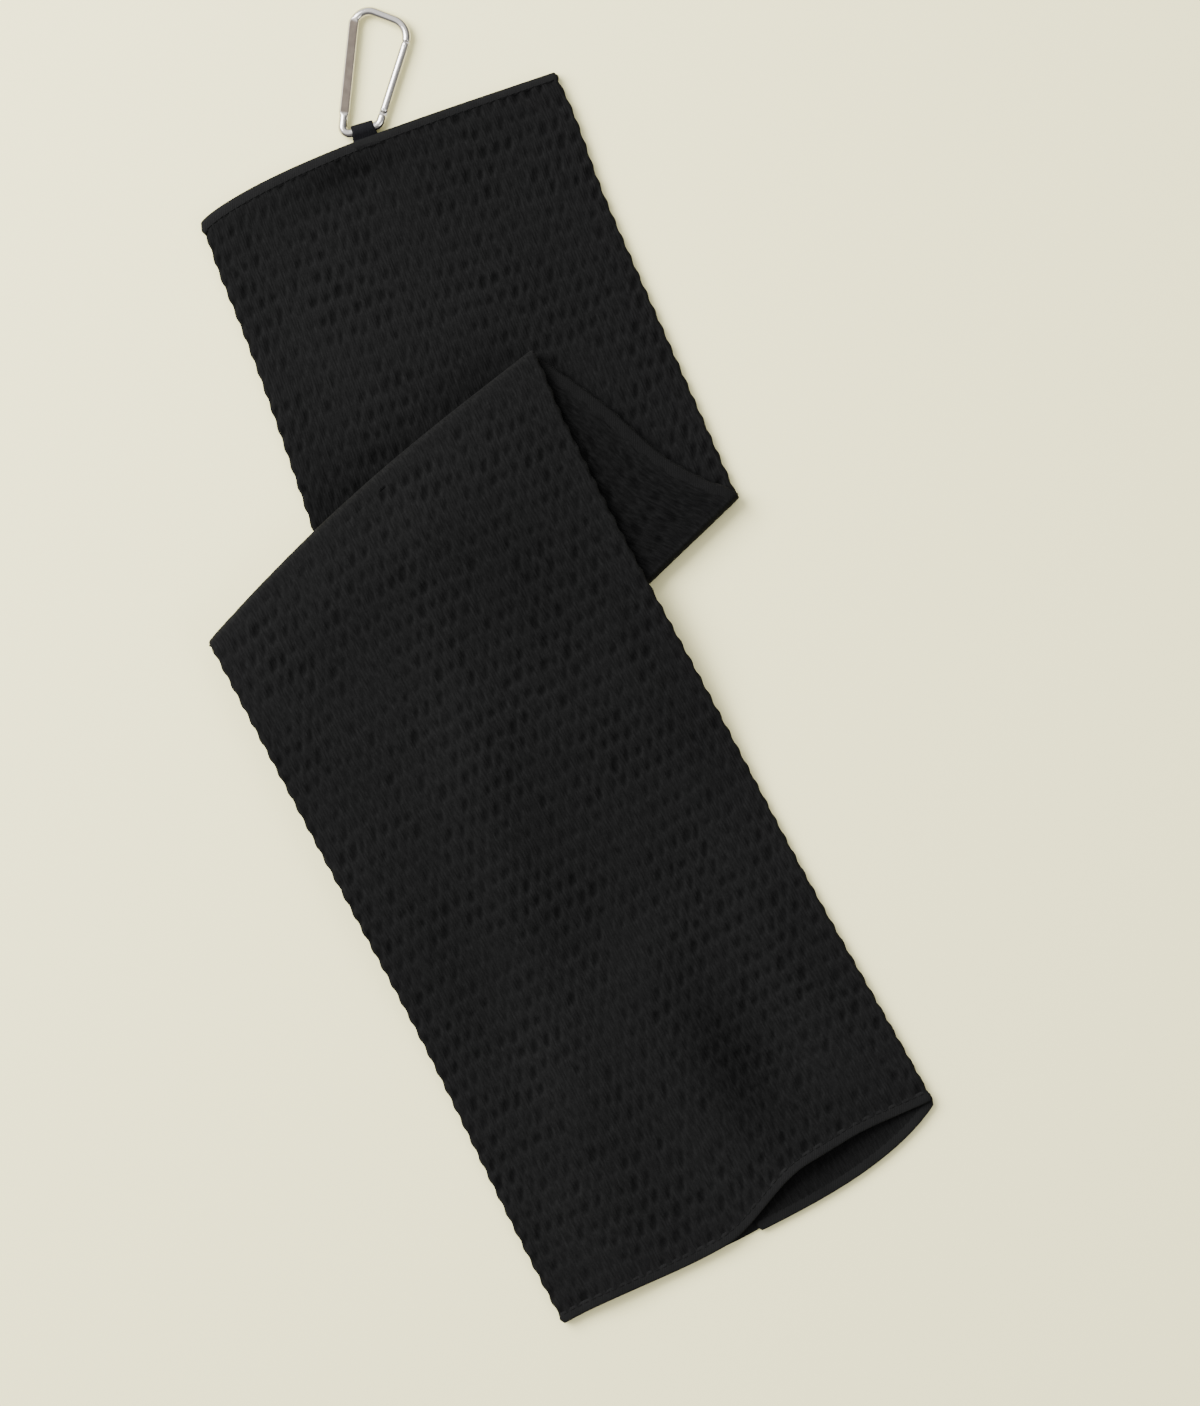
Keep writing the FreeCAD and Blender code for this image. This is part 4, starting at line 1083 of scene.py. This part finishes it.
class TOWEL_OT_clip(bpy.types.Operator):
    """Build the clip's body and spring, and finish its gate, pins and plunger."""
    bl_idname = "towel.clip"
    bl_label = "Clip"

    sharp = math.radians(35)

    def execute(self, context):
        clip = Clip()
        self.wire(clip, clip.sizes)
        self.tongues(clip, clip.sizes)
        self.keep(["gate"], "tumbled_aluminium", "clip_aluminium")
        self.spring(clip, clip.sizes)
        self.keep(["gate_rivet", "latch_pin", "gate_plunger"], "nickelled_steel", "pin_steel")
        return {"FINISHED"}

    def keep(self, nodes, material, slot):
        """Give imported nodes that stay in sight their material, and smooth what is round in them."""
        for name in nodes:
            node = frame["nodes"][name]
            node.data.materials.clear()
            node.data.materials.append(finish(material))
            node.data.polygons.foreach_set("use_smooth", np.ones(len(node.data.polygons), bool))
            node.data.set_sharp_from_angle(angle=self.sharp)

    def wire(self, clip, sizes):
        """The bent wire. Its section is a circle of radius r, and on the spine it is pressed: its
        width grows, and its height is cut off flat at half the spine's thickness. Its ends are
        rounded over half a millimetre."""
        radii = [sizes.shoulder_radius, sizes.bow_radius, sizes.foot_radius, sizes.heel_radius]
        spacing = 0.35 * MM
        path, tangent = rounded_path(clip.corners(), radii, spacing)
        side = np.column_stack([-tangent[:, 1], tangent[:, 0]])
        number = np.arange(len(path))
        from_end = np.minimum(number, number[::-1]) * spacing
        rounding = 1 - 0.14 * (1 - from_end / (0.5 * MM)).clip(0, 1) ** 2
        around = np.linspace(0, 2 * math.pi, 49)[:-1]
        pressed = (ramp(path[:, 1], sizes.spine_low - MM, sizes.spine_low + MM)
                   * ramp(path[:, 1], sizes.spine_high + 2 * MM, sizes.spine_high)
                   * (path[:, 0] < 0))[:, None]
        half_width = (sizes.wire + (sizes.spine_width - sizes.wire) * pressed) / 2 * rounding[:, None]
        limit = (sizes.wire + (sizes.spine_thickness - sizes.wire) * pressed) / 2
        out, up = half_width * np.cos(around), half_width * np.sin(around)
        # the flat's mark makes it rough, and gives it the darker colour of a painted dark reflection
        flat = pressed * (np.abs(up) > limit * 0.99)
        up = np.clip(up, -limit, limit)
        rings = np.concatenate([path[:, None] + side[:, None] * out[..., None], up[..., None]], axis=2)
        piece = tube_piece("clip_wire", clip.placed(rings), finish("tumbled_aluminium"),
                           marks={"pressed": flat})
        attach(piece, "carabiner", "carabiner_body")

    def tongues(self, clip, sizes):
        """The flat tongues at the wire's two ends: one holds the gate's rivet, and the other has the
        notch for the gate's pin."""
        near_half, reach = 1.4 * MM, 1.6 * MM
        far_half, notch, pin, rim = 1.2 * MM, 0.7 * MM, 25.3 * MM, 0.6 * MM
        top = (sizes.nose_height - clip.rivet[1]) / math.cos(sizes.gate_lean) + rim
        low = -(sizes.leg_stand_off + near_half / 2)
        near = [(-near_half, low), (near_half, low), (near_half, reach), (-near_half, reach)]
        far = [(-far_half, pin - notch - rim), (far_half, pin - notch - rim), (far_half, top),
               (-far_half, top), (-far_half, pin + notch), (notch, pin + notch), (notch, pin - notch),
               (-far_half, pin - notch)]
        points, faces = np.empty((0, 3)), []
        for outline in (near, far):
            plate, plate_faces = prism(np.array([clip.by_gate(*corner) for corner in outline]), sizes.tongue)
            faces += [[number + len(points) for number in face] for face in plate_faces]
            points = np.concatenate([points, plate])
        piece = new_piece("clip_tongues", clip.placed(points), faces, finish("tumbled_aluminium"),
                          marks={"pressed": np.zeros(len(points))})
        piece.data.set_sharp_from_angle(angle=self.sharp)
        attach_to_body(piece, "carabiner")

    def spring(self, clip, sizes):
        """The coil spring in the gate: a wire along a helix, whose closed end lies on the plunger."""
        turns, wire = 10, sizes.spring_wire / 2
        turn = np.linspace(0, 2 * math.pi * turns, 20 * turns + 1)
        along = sizes.spring_low + wire + (sizes.spring_high - sizes.spring_low - 2 * wire) * turn / turn[-1]
        out = np.multiply.outer(np.cos(turn), clip.across_gate) + np.multiply.outer(np.sin(turn), UP)
        path = clip.rivet + np.multiply.outer(along, clip.along_gate) + sizes.spring_radius * out
        around = np.linspace(0, 2 * math.pi, 9)[:-1, None]
        rings = path[:, None] + wire * (np.cos(around) * out[:, None] + np.sin(around) * clip.along_gate)
        piece = tube_piece("spring_coil", clip.placed(rings), finish("nickelled_steel"))
        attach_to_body(piece, "gate")
        tuple(clip.placed(clip.along_gate) - clip.bar)
        tuple(clip.placed(clip.rivet + sizes.spring_high * clip.along_gate))
        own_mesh(piece)
        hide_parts("gate_spring")


class TOWEL_OT_stage(bpy.types.Operator):
    """Make the floor, the lights and the camera that looks straight down."""
    bl_idname = "towel.stage"
    bl_label = "Floor, lights and camera"

    # the length of the floor that the camera sees, the point it looks at, and its lens
    span, aim = 534.6 * MM, (12.0 * MM, -15.0 * MM)
    focal, sensor = 110, 36
    # each soft box's place, size and power in watts
    lights = {"overhead": ((-1.0, 0.6, 1.15), 1.1, 82), "side": ((1.2, -0.6, 1.3), 0.9, 10)}

    def execute(self, context):
        low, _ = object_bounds()
        bpy.ops.mesh.primitive_plane_add(size=20, location=(0, 0, low.z - 0.2 * MM))
        floor = context.object
        floor.name = "floor"
        floor.data.materials.append(finish("matt_board"))
        floor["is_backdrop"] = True
        for name, (place, size, watts) in self.lights.items():
            self.light(context, name, place, size, watts)
        context.scene.world = self.room()
        data = bpy.data.cameras.new("camera")
        camera = bpy.data.objects.new("camera", data)
        context.scene.collection.objects.link(camera)
        data.lens = self.focal
        data.sensor_width = self.sensor
        camera.location = (*self.aim, self.span * self.focal / self.sensor)
        context.scene.camera = camera
        return {"FINISHED"}

    def room(self):
        """A white room whose light comes from one side: its radiance grows with the direction's dot
        product with the bright side, from a dim wall to a bright one."""
        world = bpy.data.worlds.new("studio")
        world.use_nodes = True
        tree = world.node_tree
        direction = add_node(tree, "TexCoord")
        facing = add_node(tree, "VectorMath", {"operation": "DOT_PRODUCT", 1: (-0.5, 0.45, 0.74)},
                          {0: direction.outputs["Generated"]})
        glow = add_node(tree, "MapRange", {"interpolation_type": "SMOOTHSTEP", "From Min": 0.3,
                                           "From Max": 0.72, "To Min": 0.3, "To Max": 1.75},
                        {"Value": facing.outputs["Value"]})
        sky = tree.nodes["Background"]
        sky.inputs["Color"].default_value = (1, 1, 1, 1)
        tree.links.new(glow.outputs["Result"], sky.inputs["Strength"])
        return world

    def light(self, context, name, place, size, watts):
        """A square soft box that faces the middle of the floor."""
        data = bpy.data.lights.new(name, "AREA")
        data.size = size
        data.energy = watts
        lamp = bpy.data.objects.new(name, data)
        context.scene.collection.objects.link(lamp)
        lamp.location = place
        lamp.rotation_euler = (-lamp.location).to_track_quat("-Z", "Y").to_euler()


class TOWEL_PT_panel(bpy.types.Panel):
    """The towel's pieces in the 3D view's sidebar."""
    bl_idname = "TOWEL_PT_panel"
    bl_label = "Golf towel"
    bl_space_type = "VIEW_3D"
    bl_region_type = "UI"
    bl_category = "Golf towel"

    def draw(self, context):
        for name in GROUPS:
            group = getattr(context.scene, name)
            for value in group.__annotations__:
                self.layout.prop(group, value)
        for operator in OPERATORS:
            self.layout.operator(operator.bl_idname)


OPERATORS = (TOWEL_OT_cloth, TOWEL_OT_hems, TOWEL_OT_loop, TOWEL_OT_clip, TOWEL_OT_stage)
GROUPS = {"towel_sizes": TowelSizes, "towel_weave": TowelWeave, "towel_colours": TowelColours,
          "towel_loop": LoopSizes, "towel_clip": ClipSizes}


def register():
    for item in (*GROUPS.values(), *OPERATORS, TOWEL_PT_panel):
        bpy.utils.register_class(item)
    for name, group in GROUPS.items():
        setattr(bpy.types.Scene, name, PointerProperty(type=group))


def unregister():
    for name in GROUPS:
        delattr(bpy.types.Scene, name)
    for item in reversed((*GROUPS.values(), *OPERATORS, TOWEL_PT_panel)):
        bpy.utils.unregister_class(item)


def main():
    register()
    bpy.ops.towel.cloth()
    bpy.ops.towel.hems()
    bpy.ops.towel.loop()
    bpy.ops.towel.clip()
    bpy.ops.towel.stage()


if __name__ == "__main__":
    main()
